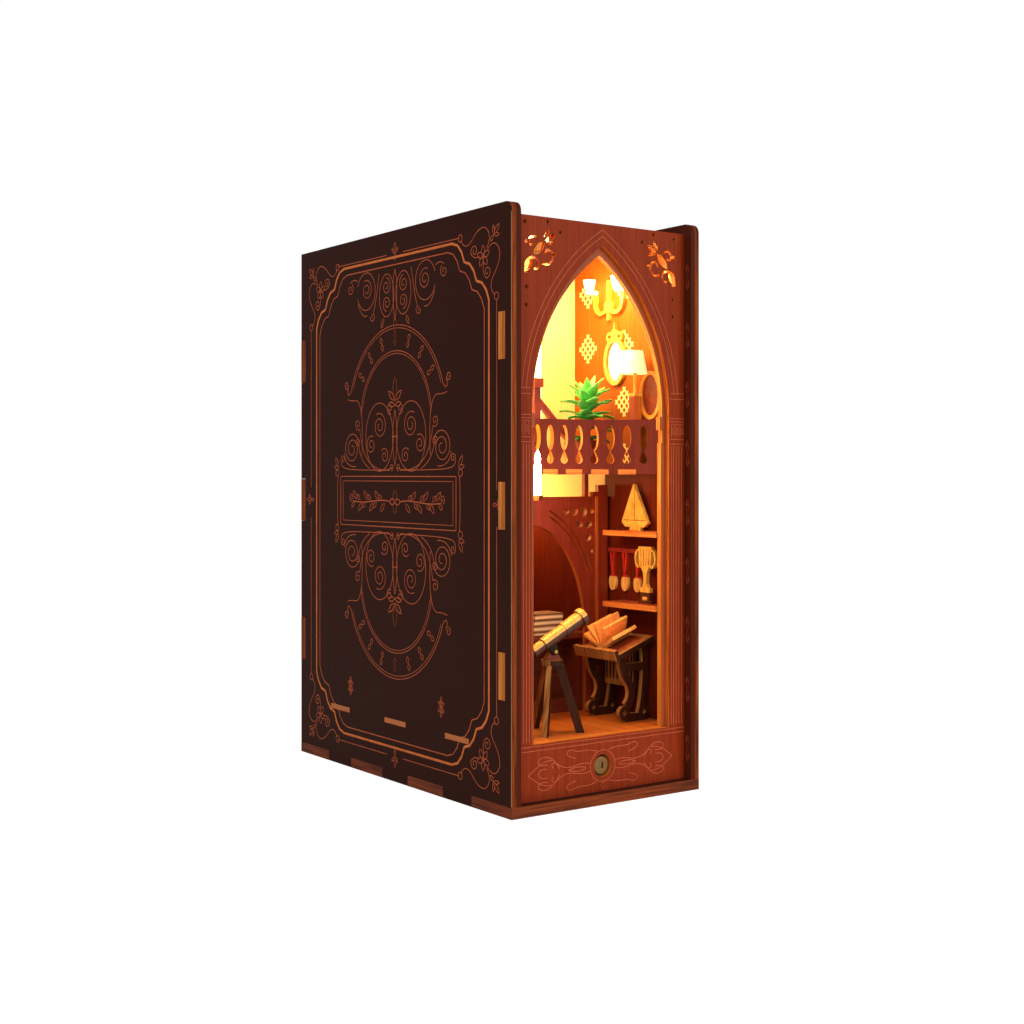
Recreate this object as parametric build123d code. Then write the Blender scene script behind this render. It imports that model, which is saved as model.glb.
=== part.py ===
from build123d import *
import math
import os

# A lit wooden book nook: a book-shaped case with a two-storey room inside.
# Millimetres, +Z up, the front faces -Y, the origin is the centre of the underside.

# Case
case_width = 99.6
case_depth = 179.2
case_height = 245.0
ply = 2.3  # thickness of every laser-cut board
frame_recess = 4.6  # how far the front frame stands behind the covers' front edges
frame_drop = 4.2  # how far the roof and frame stay below the covers' top edges
cover_corner_radius = 4.0
tab_fit = 0.1  # all round a tab in its slot
run_gap = 0.3  # between a part that slides and what guides it
pin_fit = 0.05  # radial clearance of a turning pin or a sliding stem
plaque = 1.8  # thickness of flat cut-out pieces

# Tabs and slots that join the boards
base_tab_length = 28.5
base_tab_spacing = 50.4
back_tab_length = 20.5
frame_tab_length = 19.0
floor_tab_length = 18.0
floor_tab_spacing = 50.0
shelf_tab_length = 9.0
side_tab_heights = (56.0, 124.0, 192.0)

# Storeys
floor_top = 27.6
balcony_top = 138.8
rail_height = 22.0

# Front frame
stile_width = 8.5  # what is left of the frame beside the arch
arch_to_roof = 8.8
arch_rise = 69.0
backing_inset = 2.0
capital_drop = 1.7  # from the springing line down to the capitals
capital_height = 5.6
capital_reach = 1.3

# Spray cut through each top corner of the frame, from that corner inwards and down
fret_slot_width = 1.0
fret_dot_radius = 0.95
fret_window_width = 16.0
fret_window_height = 24.0
fret_window_centre = (12.2, -15.8)
fret_leaves = (
    # across, down, length, width, turn
    (20.7, -6.3, 6.0, 2.2, 215),
    (17.6, -4.6, 5.0, 1.8, 235),
    (20.2, -11.0, 5.0, 1.8, 160),
    (15.4, -9.8, 8.5, 3.4, 225),
    (9.0, -16.5, 8.0, 3.0, 240),
)
fret_curls = (
    # across, down, radius, turn, sweep
    (11.6, -9.8, 2.2, 110, 170),
    (6.8, -23.2, 3.6, 140, -190),
    (14.2, -18.8, 3.2, 330, 160),
)
fret_dots = ((5.3, -2.8), (6.0, -10.6), (17.0, -1.8), (23.4, -5.6), (20.2, -14.8), (6.0, -28.9), (6.0, -36.2))

# Balcony
bow_radius = 58.4
bow_setback = 26.6  # from the bow's centre to the back of the frame
baluster_pitch = 7.3
fringe_pitch = 12.2
fringe_tab_length = 7.8

# Newel and stair handrail on the balcony
newel_x = -2.0
newel_gap = 5.3  # from the balustrade to the newel's axis
newel_width = 3.4
newel_height = 36.0
newel_cap_height = 4.0
newel_cap_reach = 0.7
handrail_depth = 3.5
handrail_run = 18.8
handrail_post = 2.5

# Cross wall below the balcony
cross_wall_depth = 47.4  # from the back of the frame
cross_wall_drop = 10.1  # gap above it
door_side = 13.2  # wall left beside the door arch
door_head = 12.4  # wall left above it
door_jamb = 36.4
prop_inset = 11.5  # from the side wall to the props that carry the balcony
moulding_starts = (5.4, 7.9)  # distances of the two moulding slots from the arch
moulding_slot = 0.9
moulding_half_gap = 11.0  # half the stretch left uncut over the arch's crown
moulding_foot = 28.0  # the slots end this far above the arch's spring
post_width = 5.4
post_rise = 5.3
post_ledge = 3.4
post_ledge_drop = 3.2
spandrel_holes = (
    # in from the side wall, down from the wall's top, size
    (24.6, 6.8, 1.9),
    (19.6, 7.0, 2.2),
    (14.2, 7.0, 2.3),
    (9.8, 6.6, 1.5),
    (17.0, 12.4, 2.1),
    (11.6, 12.8, 2.3),
    (11.4, 18.8, 2.0),
    (9.6, 24.6, 1.3),
)

# Upper back wall
upper_wall_depth = 72.4  # from the back of the frame
upper_door_side = 18.2
upper_door_drop = 42.5  # from the ceiling to the doorway's springing line
diffuser_margin = 4.0

# Shelves on the right wall
shelf_depth = 12.1
shelf_length = 36.4
upper_shelf_top = 111.4
lower_shelf_top = 79.3

# Sailboat on the upper shelf
sailboat_back = 22.9  # from the back of the frame
sailboat_inset = 4.6  # from the right wall
sailboat_length = 18.0
sailboat_height = 20.8

# Medals under the upper shelf
medal_back = 34.0
medal_drop = 8.1
medal_rail_length = 22.4
medal_rail_height = 1.9
medal_pitch = 8.7
medal_width = 5.0
medal_height = 7.4
medal_thickness = 1.26
ribbon_width = 3.8
ribbon_length = 10.5

# Trophy on the lower shelf
trophy_back = 13.9
trophy_inset = 6.4
trophy_height = 25.2
trophy_width = 8.8
trophy_handle_width = 2.4
trophy_handle_height = 4.2
trophy_handle_thickness = 0.85

# Lectern below the lower shelf
lectern_reach = 21.2
lectern_wall_gap = 0.6
lectern_slope = 20.0
lectern_back_gap = 12.9
lectern_length = 29.5
lectern_lip_height = 2.4
lectern_leg_inset = 2.6
lectern_leg_width = 3.6
lectern_scroll_radius = 3.0
lectern_scroll_eye = 1.1
lectern_rail_height = 3.4
lectern_panel_height = 18.0
lectern_panel_rail = 2.5
lectern_slat_count = 8

# Open book on the lectern
book_headroom = 2.0
book_offset = 2.0
book_half_span = 12.5
book_cover_length = 15.0
book_cover_thickness = 0.8
leaf_length = 14.2
leaf_height = 11.5
leaf_inset = 0.4
book_spine_width = 6.0
book_spine_height = 1.4
leaf_blocks = ((-62, 1.5), (-30, 1.0), (0, 1.0), (30, 1.0), (62, 1.5))  # lean, thickness

# Writing desk behind the door arch
desk_rise = 36.0
desk_left = 20.0
desk_wall_gap = 7.2
desk_gap = 1.7
desk_depth = 18.0
desk_overhang = 2.0
desk_end_overhang = 3.0
desk_plinth_height = 6.0
desk_plinth_depth = 5.0
desk_drawers_width = 18.7

# Closed books on the desk: length, depth, thickness from the lowest up
stack_x = 16.2
stack_books = ((17.2, 12.0, 3.4), (16.0, 10.8, 3.0), (15.8, 11.4, 3.2))
binding = 0.5  # thickness of the closed books' covers
page_inset = 0.6

# Vase on the desk
vase_x = 1.2
vase_height = 35.0
vase_foot_radius = 3.4
vase_lip_radius = 5.8

# Telescope on its tripod
tripod_x = -13.0
tripod_back = 13.4
tripod_feet = ((-9.0, -7.3), (10.1, -6.4), (1.0, 13.7))  # from the tripod's axis
tripod_rise = 30.9
tripod_plate_radius = 4.6
tripod_leg_width = 3.6
tripod_leg_inset = 1.5
pivot_rise = 3.5  # above the plate
pivot_radius = 0.8
bracket_foot = 8.0
bracket_eye_radius = 1.7
tube_slope = 27.0
tube_radius = 3.2
tube_offset = 4.7  # tube axis above the pivot, square to the tube
tube_front = 21.0
tube_rear = 12.0
bell_length = 2.5
eyepiece_length = 3.0
saddle_thickness = 1.2
saddle_width = 4.8
saddle_eye_radius = 1.6
pin_head = 0.5  # the pin stands this far out of each lug

# Plant on the balcony
plant_inset = 15.2
plant_back = 43.4
pot_height = 13.0
pot_radius = 6.2
pot_foot_radius = 4.0
pot_wall = 1.2
leaf_rings = ((33, 6, 13.0), (56, 6, 19.0), (76, 5, 26.0))  # rise, count, blade length
blade_width = 3.2
blade_thickness = 0.5

# Table lamp on its pedestal
pedestal_width = 4.0
pedestal_inset = 1.9
pedestal_gap = 1.7
pedestal_height = 32.7
lamp_star_reach = 3.0
lamp_star_thickness = 1.4
lamp_stem_radius = 0.9
lamp_stem_height = 11.0
lamp_arm = (-4.7, -3.3)  # from the stem to the shade's axis
lamp_arm_width = 1.4
lamp_arm_height = 1.3
lamp_holder_radius = 1.3
lamp_holder_height = 6.0
shade_hang = 1.4  # the shade's rim below the arm
shade_bottom_radius = 6.9
shade_top_radius = 4.9
shade_height = 10.2
shade_wall = 1.0
shade_notch_fit = 0.25

# Oval mirror on the right wall
mirror_back = 40.9
mirror_drop = 50.1  # from the ceiling to its centre
mirror_width = 15.6
mirror_height = 22.0
mirror_rim = 2.0
mirror_crest = 7.0
glass_thickness = 1.0

# Oval picture on the right wall
picture_back = 16.2
picture_gap = 0.2  # above the balustrade
picture_width = 14.4
picture_height = 21.6
picture_rim = 1.7
picture_thickness = 1.6
card_thickness = 0.8

# Two-armed lamp above the mirror
wall_lamp_back = 45.4
wall_lamp_drop = 24.5
wall_lamp_arm = 5.0
wall_lamp_arm_width = 1.7
wall_lamp_rose = 2.8
wall_lamp_rise = 12.0
wall_lamp_fall = 6.4
cup_radius = 2.9
cup_foot_radius = 1.4
cup_height = 6.4
cup_strap = 0.8

# Candle lamp on the balustrade
candle_x = -11.0
candle_standoff = 5.6
candle_drop = 8.9
candle_seat = 2.4
hook_depth = 3.0
hook_rise = 2.0
candle_radius = 1.5
candle_height = 13.0
flame_radius = 1.35
flame_height = 6.6

# Light strip under the roof
strip_back = 22.4
strip_length = 60.0
strip_width = 8.0
strip_thickness = 0.8
chip_count = 5
chip_pitch = 12.0
chip_size = 4.4
chip_height = 1.2

# Circuit board under the floor
circuit_back = 39.4
circuit_width = 28.0
circuit_depth = 22.0
circuit_thickness = 1.6
circuit_parts = (
    # across, back, width, depth, height
    (-8.0, -3.0, 6.0, 6.0, 2.2),
    (4.0, -5.0, 8.0, 5.0, 1.6),
    (6.0, 5.0, 5.0, 5.0, 6.0),
    (-7.0, 6.0, 7.0, 3.0, 3.2),
)

# Push switch
button_height = 15.2
button_hole_radius = 4.7
button_radius = 3.6
button_recess = 1.2
button_thickness = 1.6
button_travel = 1.2
button_slot = 2.5
button_slot_depth = 0.6
stem_radius = 2.0
stem_length = 4.2
switch_width = 12.0
switch_length = 10.0
spring_length = 4.0
spring_wire = 0.4
spring_turns = 3

# Battery tray
cell_length = 44.5
cell_radius = 5.25
cell_count = 3
cell_gap = 0.3
cell_nub_radius = 1.9
cell_nub_length = 0.8
contact_thickness = 0.5
contact_width = 7.0
contact_height = 9.0
tray_wall = 1.5
tray_door_height = 15.4
tray_door_overlap = 1.4
finger_notch_radius = 5.0
runner_width = 4.0
runner_height = 3.0
runner_lead = 12.0  # how far the runners reach past the closed tray

half_w = case_width / 2
y_front = -case_depth / 2
y_back = case_depth / 2
x_liner = half_w - ply
x_room = half_w - 2 * ply
base_top = 2 * ply
frame_front = y_front + frame_recess
backing_front = frame_front + ply
backing_back = backing_front + ply
inner_back = y_back - 2 * ply
roof_top = case_height - frame_drop
ceiling = roof_top - ply
arch_half_width = x_room - stile_width
arch_apex = roof_top - arch_to_roof
arch_spring = arch_apex - arch_rise
balcony_under = balcony_top - ply
rail_top = balcony_top + rail_height
wall_radius = bow_radius + ply
bow_centre_y = backing_back - bow_setback
bow_half_angle = math.degrees(math.asin(x_room / wall_radius))
cross_wall_y = backing_back + cross_wall_depth
cross_wall_top = balcony_under - cross_wall_drop
door_half_width = x_room - door_side
door_spring = floor_top + door_jamb
door_rise = cross_wall_top - door_head - door_spring
upper_wall_y = backing_back + upper_wall_depth
upper_door_half_width = x_room - upper_door_side
upper_door_spring = ceiling - upper_door_drop
desk_top = floor_top + desk_rise
desk_front = cross_wall_y + ply + desk_gap
desk_middle = desk_front + desk_depth / 2 - tab_fit * 5
tripod_y = backing_back + tripod_back
tripod_plate_top = floor_top + tripod_rise
pivot_height = tripod_plate_top + pivot_rise
middle_tube_radius = 0.9 * tube_radius
mirror_z = ceiling - mirror_drop
wall_lamp_y = backing_back + wall_lamp_back
wall_lamp_z = ceiling - wall_lamp_drop
cup_offset = 1.98 * wall_lamp_arm
cup_foot_z = wall_lamp_z + 1.28 * wall_lamp_arm
candle_y = bow_centre_y + bow_radius - candle_standoff
candle_foot = balcony_under - candle_drop
stem_end = frame_front + button_recess + button_thickness + stem_length
spring_room = button_travel + spring_length
tray_inner_half = cell_length / 2 + contact_thickness
tray_outer_half = tray_inner_half + tray_wall
tray_door_half = tray_outer_half + tray_door_overlap
tray_far = inner_back - tray_wall
tray_near = tray_far - cell_count * (2 * cell_radius + cell_gap) - cell_gap
tray_floor_top = base_top + run_gap + tray_wall


def slab(x0, x1, y0, y1, z0, z1):
    """A block between two corners."""
    return Pos((x0 + x1) / 2, (y0 + y1) / 2, (z0 + z1) / 2) * Box(x1 - x0, y1 - y0, z1 - z0)


def rect(u0, u1, v0, v1):
    """A flat rectangle between two corners."""
    return Pos((u0 + u1) / 2, (v0 + v1) / 2) * Rectangle(u1 - u0, v1 - v0)


def front_board(sketch, y, thickness):
    """A board parallel to the front, drawn in (x, z), with its front face at y."""
    plane = Plane((0, y + thickness, 0), x_dir=(1, 0, 0), z_dir=(0, -1, 0))
    return extrude(plane * sketch, thickness)


def side_board(sketch, x, thickness):
    """A board parallel to the sides, drawn in (y, z), with its left face at x."""
    plane = Plane((x, 0, 0), x_dir=(0, 1, 0), z_dir=(1, 0, 0))
    return extrude(plane * sketch, thickness)


def flat_board(sketch, z, thickness):
    """A level board, drawn in (x, y), with its underside at z."""
    return extrude(Plane.XY.offset(z) * sketch, thickness)


def outline(*points):
    """A filled shape with straight sides."""
    return make_face(Polyline(*points, close=True).edges())


def figure(centre, foot, half_width, height, points):
    """A straight-sided outline given in half widths from its centre and heights from its foot."""
    return outline(*[(centre + u * half_width, foot + v * height) for u, v in points])


def turned(points):
    """A solid of revolution about Z from its (radius, height) outline."""
    return revolve(Plane.XZ * outline(*points), Axis.Z)


def post(radius, z0, z1):
    """A round upright on the Z axis."""
    return Pos(0, 0, (z0 + z1) / 2) * Cylinder(radius, z1 - z0)


def base_tab_spans():
    """The stretches in y where the base reaches through the side walls."""
    outer = case_depth / 2 - base_tab_length / 2
    centres = (-outer, -base_tab_spacing / 2, base_tab_spacing / 2, outer)
    return [(c - base_tab_length / 2, c + base_tab_length / 2) for c in centres]


def floor_tab_centres():
    return (-floor_tab_spacing, 0.0, floor_tab_spacing)


def shelf_tab_centres():
    """Two tabs a quarter of the way in from each end of a shelf."""
    return (backing_back + shelf_length / 4, backing_back + shelf_length * 3 / 4)


def side_wall(inner):
    """Outline of a side board in (y, z); inner boards have slots for the hidden tabs too."""
    board = rect(y_front, y_back, 0, case_height)
    board = fillet(board.vertices().group_by(Axis.Y)[-1].sort_by(Axis.X)[:1], cover_corner_radius)
    for y0, y1 in base_tab_spans():
        board -= rect(y0 - tab_fit, y1 + tab_fit, -1, base_top)
    for z in side_tab_heights:
        half = frame_tab_length / 2 + tab_fit
        board -= rect(frame_front - tab_fit, backing_back + tab_fit, z - half, z + half)
        half = back_tab_length / 2 + tab_fit
        board -= rect(inner_back - tab_fit, y_back + 1, z - half, z + half)
    for y in floor_tab_centres():
        half = floor_tab_length / 2 + tab_fit
        board -= rect(y - half, y + half, floor_top - ply - tab_fit, floor_top + tab_fit)
        if inner:
            board -= rect(y - half, y + half, balcony_under - tab_fit, balcony_top + tab_fit)
            board -= rect(y - half, y + half, ceiling - tab_fit, roof_top + tab_fit)
    return board


def right_liner_board():
    """The right inner board also holds the two shelves."""
    board = side_wall(True)
    for top in (upper_shelf_top, lower_shelf_top):
        for y in shelf_tab_centres():
            half = shelf_tab_length / 2 + tab_fit
            board -= rect(y - half, y + half, top - ply - tab_fit, top + tab_fit)
    return board


def base_plan():
    plan = rect(-x_room, x_room, y_front, y_back)
    for y0, y1 in base_tab_spans():
        plan += rect(-half_w, half_w, y0, y1)
    return plan


def tabbed_floor(y0, y1, reach):
    """A level board between the side walls with three tabs a side that end at x = reach."""
    plan = rect(-x_room, x_room, y0, y1)
    for y in floor_tab_centres():
        plan += rect(-reach, reach, y - floor_tab_length / 2, y + floor_tab_length / 2)
    return plan


def back_board():
    """Outline of a back board in (x, z), open at the bottom for the battery tray."""
    board = rect(-x_room, x_room, base_top, roof_top)
    for z in side_tab_heights:
        board += rect(-half_w, half_w, z - back_tab_length / 2, z + back_tab_length / 2)
    half = tray_door_half + run_gap
    return board - rect(-half, half, base_top - 1, base_top + tray_door_height + run_gap)


def gothic_opening(half_width, spring, apex, bottom):
    """A pointed arch: each side is an arc centred on the springing line."""
    rise = apex - spring
    radius = (rise**2 + half_width**2) / (2 * half_width)
    middle = math.asin(rise / radius) / 2
    mid_x = half_width - radius + radius * math.cos(middle)
    mid_z = spring + radius * math.sin(middle)
    edges = [
        Line((-half_width, bottom), (half_width, bottom)),
        Line((half_width, bottom), (half_width, spring)),
        ThreePointArc((half_width, spring), (mid_x, mid_z), (0, apex)),
        ThreePointArc((0, apex), (-mid_x, mid_z), (-half_width, spring)),
        Line((-half_width, spring), (-half_width, bottom)),
    ]
    return make_face(edges)


def leaf(length, width):
    """A pointed leaf along x, from its stalk at the origin."""
    sides = [
        ThreePointArc((0, 0), (length / 2, width / 2), (length, 0)),
        ThreePointArc((length, 0), (length / 2, -width / 2), (0, 0)),
    ]
    return make_face(sides)


def scroll_slot(radius, turn, sweep):
    """A curled slot: two arcs of falling radius that start at the origin."""
    side = 1 if sweep > 0 else -1
    heading = math.radians(turn)
    centre = (-side * radius * math.sin(heading), side * radius * math.cos(heading))
    start = turn - side * 90
    outer = CenterArc(centre, radius, start, sweep)
    small = radius * 0.55
    end = math.radians(start + sweep)
    shift = radius - small
    inner_centre = (centre[0] + shift * math.cos(end), centre[1] + shift * math.sin(end))
    inner = CenterArc(inner_centre, small, start + sweep, side * 150)
    return trace([outer, inner], fret_slot_width)


def corner_fret():
    """The spray cut through the frame's top left corner: leaves on a stem, curls and dots."""
    corner = Pos(-x_room, roof_top)
    spray = Sketch()
    for across, down, length, width, turn in fret_leaves:
        spray += corner * Pos(across, down) * Rot(0, 0, turn) * leaf(length, width)
    for across, down, radius, turn, sweep in fret_curls:
        spray += corner * Pos(across, down) * scroll_slot(radius, turn, sweep)
    for across, down in fret_dots:
        spray += corner * Pos(across, down) * Circle(fret_dot_radius)
    return spray


def frame_outline():
    board = rect(-x_room, x_room, base_top, roof_top)
    for z in side_tab_heights:
        board += rect(-half_w, half_w, z - frame_tab_length / 2, z + frame_tab_length / 2)
    return board - Pos(0, button_height) * Circle(button_hole_radius)


def front_frame():
    board = frame_outline() - gothic_opening(arch_half_width, arch_spring, arch_apex, floor_top)
    fret = corner_fret()
    return front_board(board - fret - mirror(fret, Plane.YZ), frame_front, ply)


def front_frame_backing():
    """The second layer shows as a step inside the arch, with a capital on each side."""
    half = arch_half_width - backing_inset
    capital_top = arch_spring - capital_drop
    opening = gothic_opening(half, arch_spring, arch_apex - 2 * backing_inset, floor_top)
    for side in (-1, 1):
        low, high = sorted((side * (half - capital_reach), side * half))
        opening -= rect(low, high, capital_top - capital_height, capital_top)
        low, high = sorted((side * (half - capital_reach / 2), side * half))
        opening -= rect(low, high, floor_top, capital_top - 2 * capital_height)
    across, down = fret_window_centre
    window = Pos(-x_room + across, roof_top + down) * Rectangle(fret_window_width, fret_window_height)
    board = frame_outline() - opening - window - mirror(window, Plane.YZ)
    return front_board(board, backing_front, ply)


def bow_back_at(x):
    """The balustrade's back face in y, at x from the middle."""
    return bow_centre_y + math.sqrt(wall_radius**2 - x**2)


def fringe_angles():
    """Angles, from straight back, of the balcony's front tabs."""
    step = math.degrees(fringe_pitch / bow_radius)
    count = int((bow_half_angle - step / 2) / step)
    return [i * step for i in range(-count, count + 1)]


def bow_plan(y_far):
    """The balcony in plan: a bowed front edge with tabs, out to the bow's face."""
    plan = tabbed_floor(bow_centre_y, y_far, x_liner)
    plan -= Pos(0, bow_centre_y) * Circle(wall_radius)
    ring = Pos(0, bow_centre_y) * (Circle(wall_radius) - Circle(bow_radius))
    for angle in fringe_angles():
        finger = Pos(0, bow_centre_y) * Rot(0, 0, -angle) * Pos(0, bow_radius)
        plan += ring & (finger * Rectangle(fringe_tab_length, 4 * ply))
    return plan & rect(-half_w, half_w, y_front, y_far)


def baluster_gap():
    """The hole between two balusters: a long oval over a teardrop, in (x, z) from the floor."""
    oval = Pos(0, rail_height * 0.63) * Ellipse(baluster_pitch * 0.26, rail_height * 0.25)
    drop = Pos(0, rail_height * 0.19) * Circle(baluster_pitch * 0.24)
    point = figure(0, rail_height * 0.235, baluster_pitch * 0.2, rail_height * 0.165, ((-1, 0), (1, 0), (0, 1)))
    return oval + drop + point


def balustrade():
    """A board bent to the bow, with a row of balusters sawn in it."""
    ring = Circle(wall_radius) - Circle(bow_radius)
    sector = Pos(0, bow_centre_y) * ring & rect(-x_room, x_room, bow_centre_y, 0)
    wall = flat_board(sector, balcony_under, rail_top - balcony_under)
    gap = baluster_gap()
    step = math.degrees(baluster_pitch / bow_radius)
    count = int((bow_half_angle - step / 2) / step)
    for i in range(-count, count + 1):
        place = Pos(0, bow_centre_y, balcony_top) * Rot(0, 0, -i * step)
        wall -= place * front_board(gap, bow_radius - ply, 3 * ply)
    half = fringe_tab_length / 2 + tab_fit
    for angle in fringe_angles():
        place = Pos(0, bow_centre_y, 0) * Rot(0, 0, -angle)
        wall -= place * slab(-half, half, bow_radius - ply, bow_radius + 2 * ply, balcony_under - 1, balcony_top)
    return wall


def cross_wall():
    """The wall with the wide door arch, moulding slots and pierced spandrels."""
    board = rect(-x_room, x_room, floor_top, cross_wall_top)
    prop = rect(x_room - prop_inset - ply, x_room - prop_inset, cross_wall_top, balcony_under)
    board += prop + mirror(prop, Plane.YZ)
    above = rect(-x_room, x_room, door_spring, case_height)
    board -= Pos(0, door_spring) * Ellipse(door_half_width, door_rise) & above
    board -= rect(-door_half_width, door_half_width, floor_top, door_spring)
    slot_area = rect(moulding_half_gap, x_room, moulding_foot, cross_wall_top - door_spring - door_head / 2)
    spandrel = Sketch()
    for reach in moulding_starts:
        outer = reach + moulding_slot
        band = Ellipse(door_half_width + outer, door_rise + outer)
        band -= Ellipse(door_half_width + reach, door_rise + reach)
        spandrel += Pos(0, door_spring) * (band & slot_area)
    for i, (side, down, size) in enumerate(spandrel_holes):
        hole = Rot(0, 0, 40 * i) * Ellipse(size, size * 0.7)
        spandrel += Pos(x_room - side, cross_wall_top - down) * hole
    board -= spandrel
    board -= mirror(spandrel, Plane.YZ)
    return front_board(board, cross_wall_y, ply)


def wall_post():
    """The stepped post at the cross wall's right end."""
    right = x_room - ply
    left = right - post_width
    top = cross_wall_top + post_rise
    board = rect(left, right, floor_top, top)
    board += rect(left - post_ledge, left, cross_wall_top, top - post_ledge_drop)
    return front_board(board, cross_wall_y - ply, ply)


def upper_back_wall():
    """The wall that closes the upper room, with a tall lit doorway."""
    board = rect(-x_room, x_room, balcony_top, ceiling)
    apex = upper_door_spring + upper_door_half_width
    board -= gothic_opening(upper_door_half_width, upper_door_spring, apex, balcony_top)
    return front_board(board, upper_wall_y, ply)


def door_diffuser():
    """A frosted sheet behind the upper doorway, lit from behind."""
    half = upper_door_half_width + diffuser_margin
    board = rect(-half, half, balcony_top, upper_door_spring + half)
    return front_board(board, upper_wall_y + ply, ply / 2)


def shelves():
    """Two shelves that run back from the frame along the right wall."""
    plan = rect(x_room - shelf_depth, x_room, backing_back, backing_back + shelf_length)
    for y in shelf_tab_centres():
        plan += rect(x_room, x_liner, y - shelf_tab_length / 2, y + shelf_tab_length / 2)
    return Compound(children=[flat_board(plan, top - ply, ply) for top in (upper_shelf_top, lower_shelf_top)])


def newel_and_handrail():
    """A newel post on the balcony with a stair handrail running down from it."""
    x = newel_x
    y = bow_back_at(0) + newel_gap
    half = newel_width / 2
    top = balcony_top + newel_height
    cap_half = half + newel_cap_reach
    newel = slab(x - half, x + half, y - ply / 2, y + ply / 2, balcony_top, top)
    newel += slab(x - cap_half, x + cap_half, y - ply, y + ply, top, top + newel_cap_height)
    near = x + half
    far = near + handrail_run
    high = top - 1.2 * newel_cap_height
    inner_low = high - handrail_depth - handrail_run + handrail_post
    rail = outline(
        (near, high),
        (near, high - handrail_depth),
        (far - handrail_post, inner_low),
        (far - handrail_post, balcony_top),
        (far, balcony_top),
        (far, high - handrail_run),
    )
    return newel + front_board(rail, y - ply / 2, ply)


def sailboat():
    """A flat cut-out model yacht, standing on the upper shelf."""
    y = backing_back + sailboat_back
    z = upper_shelf_top
    half = sailboat_length / 2
    sails = figure(y, z, half, sailboat_height, ((-0.96, 0.16), (1.0, 0.2), (0.11, 1.0)))
    hull_points = ((-0.98, 0.165), (-0.72, 0.075), (0.72, 0.075), (1.0, 0.165), (1.0, 0.2), (-0.96, 0.185))
    hull = figure(y, z, half, sailboat_height, hull_points)
    foot = figure(y, z, half, sailboat_height, ((-0.44, 0), (0.4, 0), (0.4, 0.09), (-0.44, 0.09)))
    return side_board(sails + hull + foot, x_room - sailboat_inset, plaque)


def medal_rail():
    y = backing_back + medal_back
    low = upper_shelf_top - ply - medal_drop
    half = medal_rail_length / 2
    return slab(x_room - plaque, x_room, y - half, y + half, low, low + medal_rail_height)


def medals():
    """Three medals on their ribbons, flat against the wall under the rail."""
    top = upper_shelf_top - ply - medal_drop
    half = ribbon_width / 2
    low = top - ribbon_length
    pieces = []
    for i in (-1, 0, 1):
        y = backing_back + medal_back + i * medal_pitch
        ribbon = figure(y, low, half, ribbon_length, ((-1, 1), (1, 1), (0.26, 0), (-0.26, 0)))
        ribbon -= figure(y, low, half, ribbon_length, ((-0.42, 1.05), (0.42, 1.05), (0, 0.33)))
        disc = Pos(y, low - medal_height / 2 + ply / 10) * Ellipse(medal_width / 2, medal_height / 2)
        pieces.append(side_board(ribbon + disc, x_room - medal_thickness, medal_thickness))
    return Compound(children=pieces)


def trophy():
    """A flat two-handled cup on a stepped plinth, standing on the lower shelf."""
    y = backing_back + trophy_back
    z = lower_shelf_top
    half = trophy_width / 2
    right_side = ((1, 1), (0.89, 0.71), (0.27, 0.54), (0.2, 0.36), (0.45, 0.28))
    left_side = tuple((-u, v) for u, v in reversed(right_side))
    cup = figure(y, z, half, trophy_height, right_side + left_side)
    ring = Ellipse(trophy_handle_width, trophy_handle_height)
    ring -= Ellipse(trophy_handle_width - trophy_handle_thickness, trophy_handle_height - trophy_handle_thickness)
    for side in (-1, 1):
        cup += Pos(y + side * (half + 0.2), z + 0.79 * trophy_height) * ring
    cup += figure(y, z, half, trophy_height, ((-0.73, 0.055), (0.73, 0.055), (0.73, 0.28), (-0.73, 0.28)))
    cup += figure(y, z, half, trophy_height, ((-1, 0), (1, 0), (1, 0.055), (-1, 0.055)))
    return side_board(cup, x_room - trophy_inset, plaque)


def lectern_lip_z():
    """Height of the lip's foot that leaves the open book its headroom below the shelf."""
    up = math.radians(lectern_slope)
    along = book_offset + leaf_inset + leaf_length
    above = ply + book_cover_thickness + leaf_height
    rise = along * math.sin(up) + above * math.cos(up)
    return lower_shelf_top - ply - book_headroom - rise


def lectern_place():
    """The plane of the lectern's slope: local x runs up it, y along the lip."""
    return Pos(x_room - lectern_reach, 0, lectern_lip_z()) * Rot(0, -lectern_slope, 0)


def lectern_span():
    near = backing_back + lectern_back_gap
    return near, near + lectern_length


def lectern_top():
    """The sloped desk board with its book lip."""
    near, far = lectern_span()
    up = math.radians(lectern_slope)
    length = (lectern_reach - lectern_wall_gap) / math.cos(up) - ply * math.tan(up)
    board = slab(0, length, near, far, 0, ply)
    lip = slab(-plaque, 0, near, far, 0, ply + lectern_lip_height)
    return lectern_place() * (board + lip)


def under_lectern():
    """Everything below the desk board's underside."""
    size = case_height
    return lectern_place() * slab(-size, size, -size, size, -size, 0)


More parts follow.
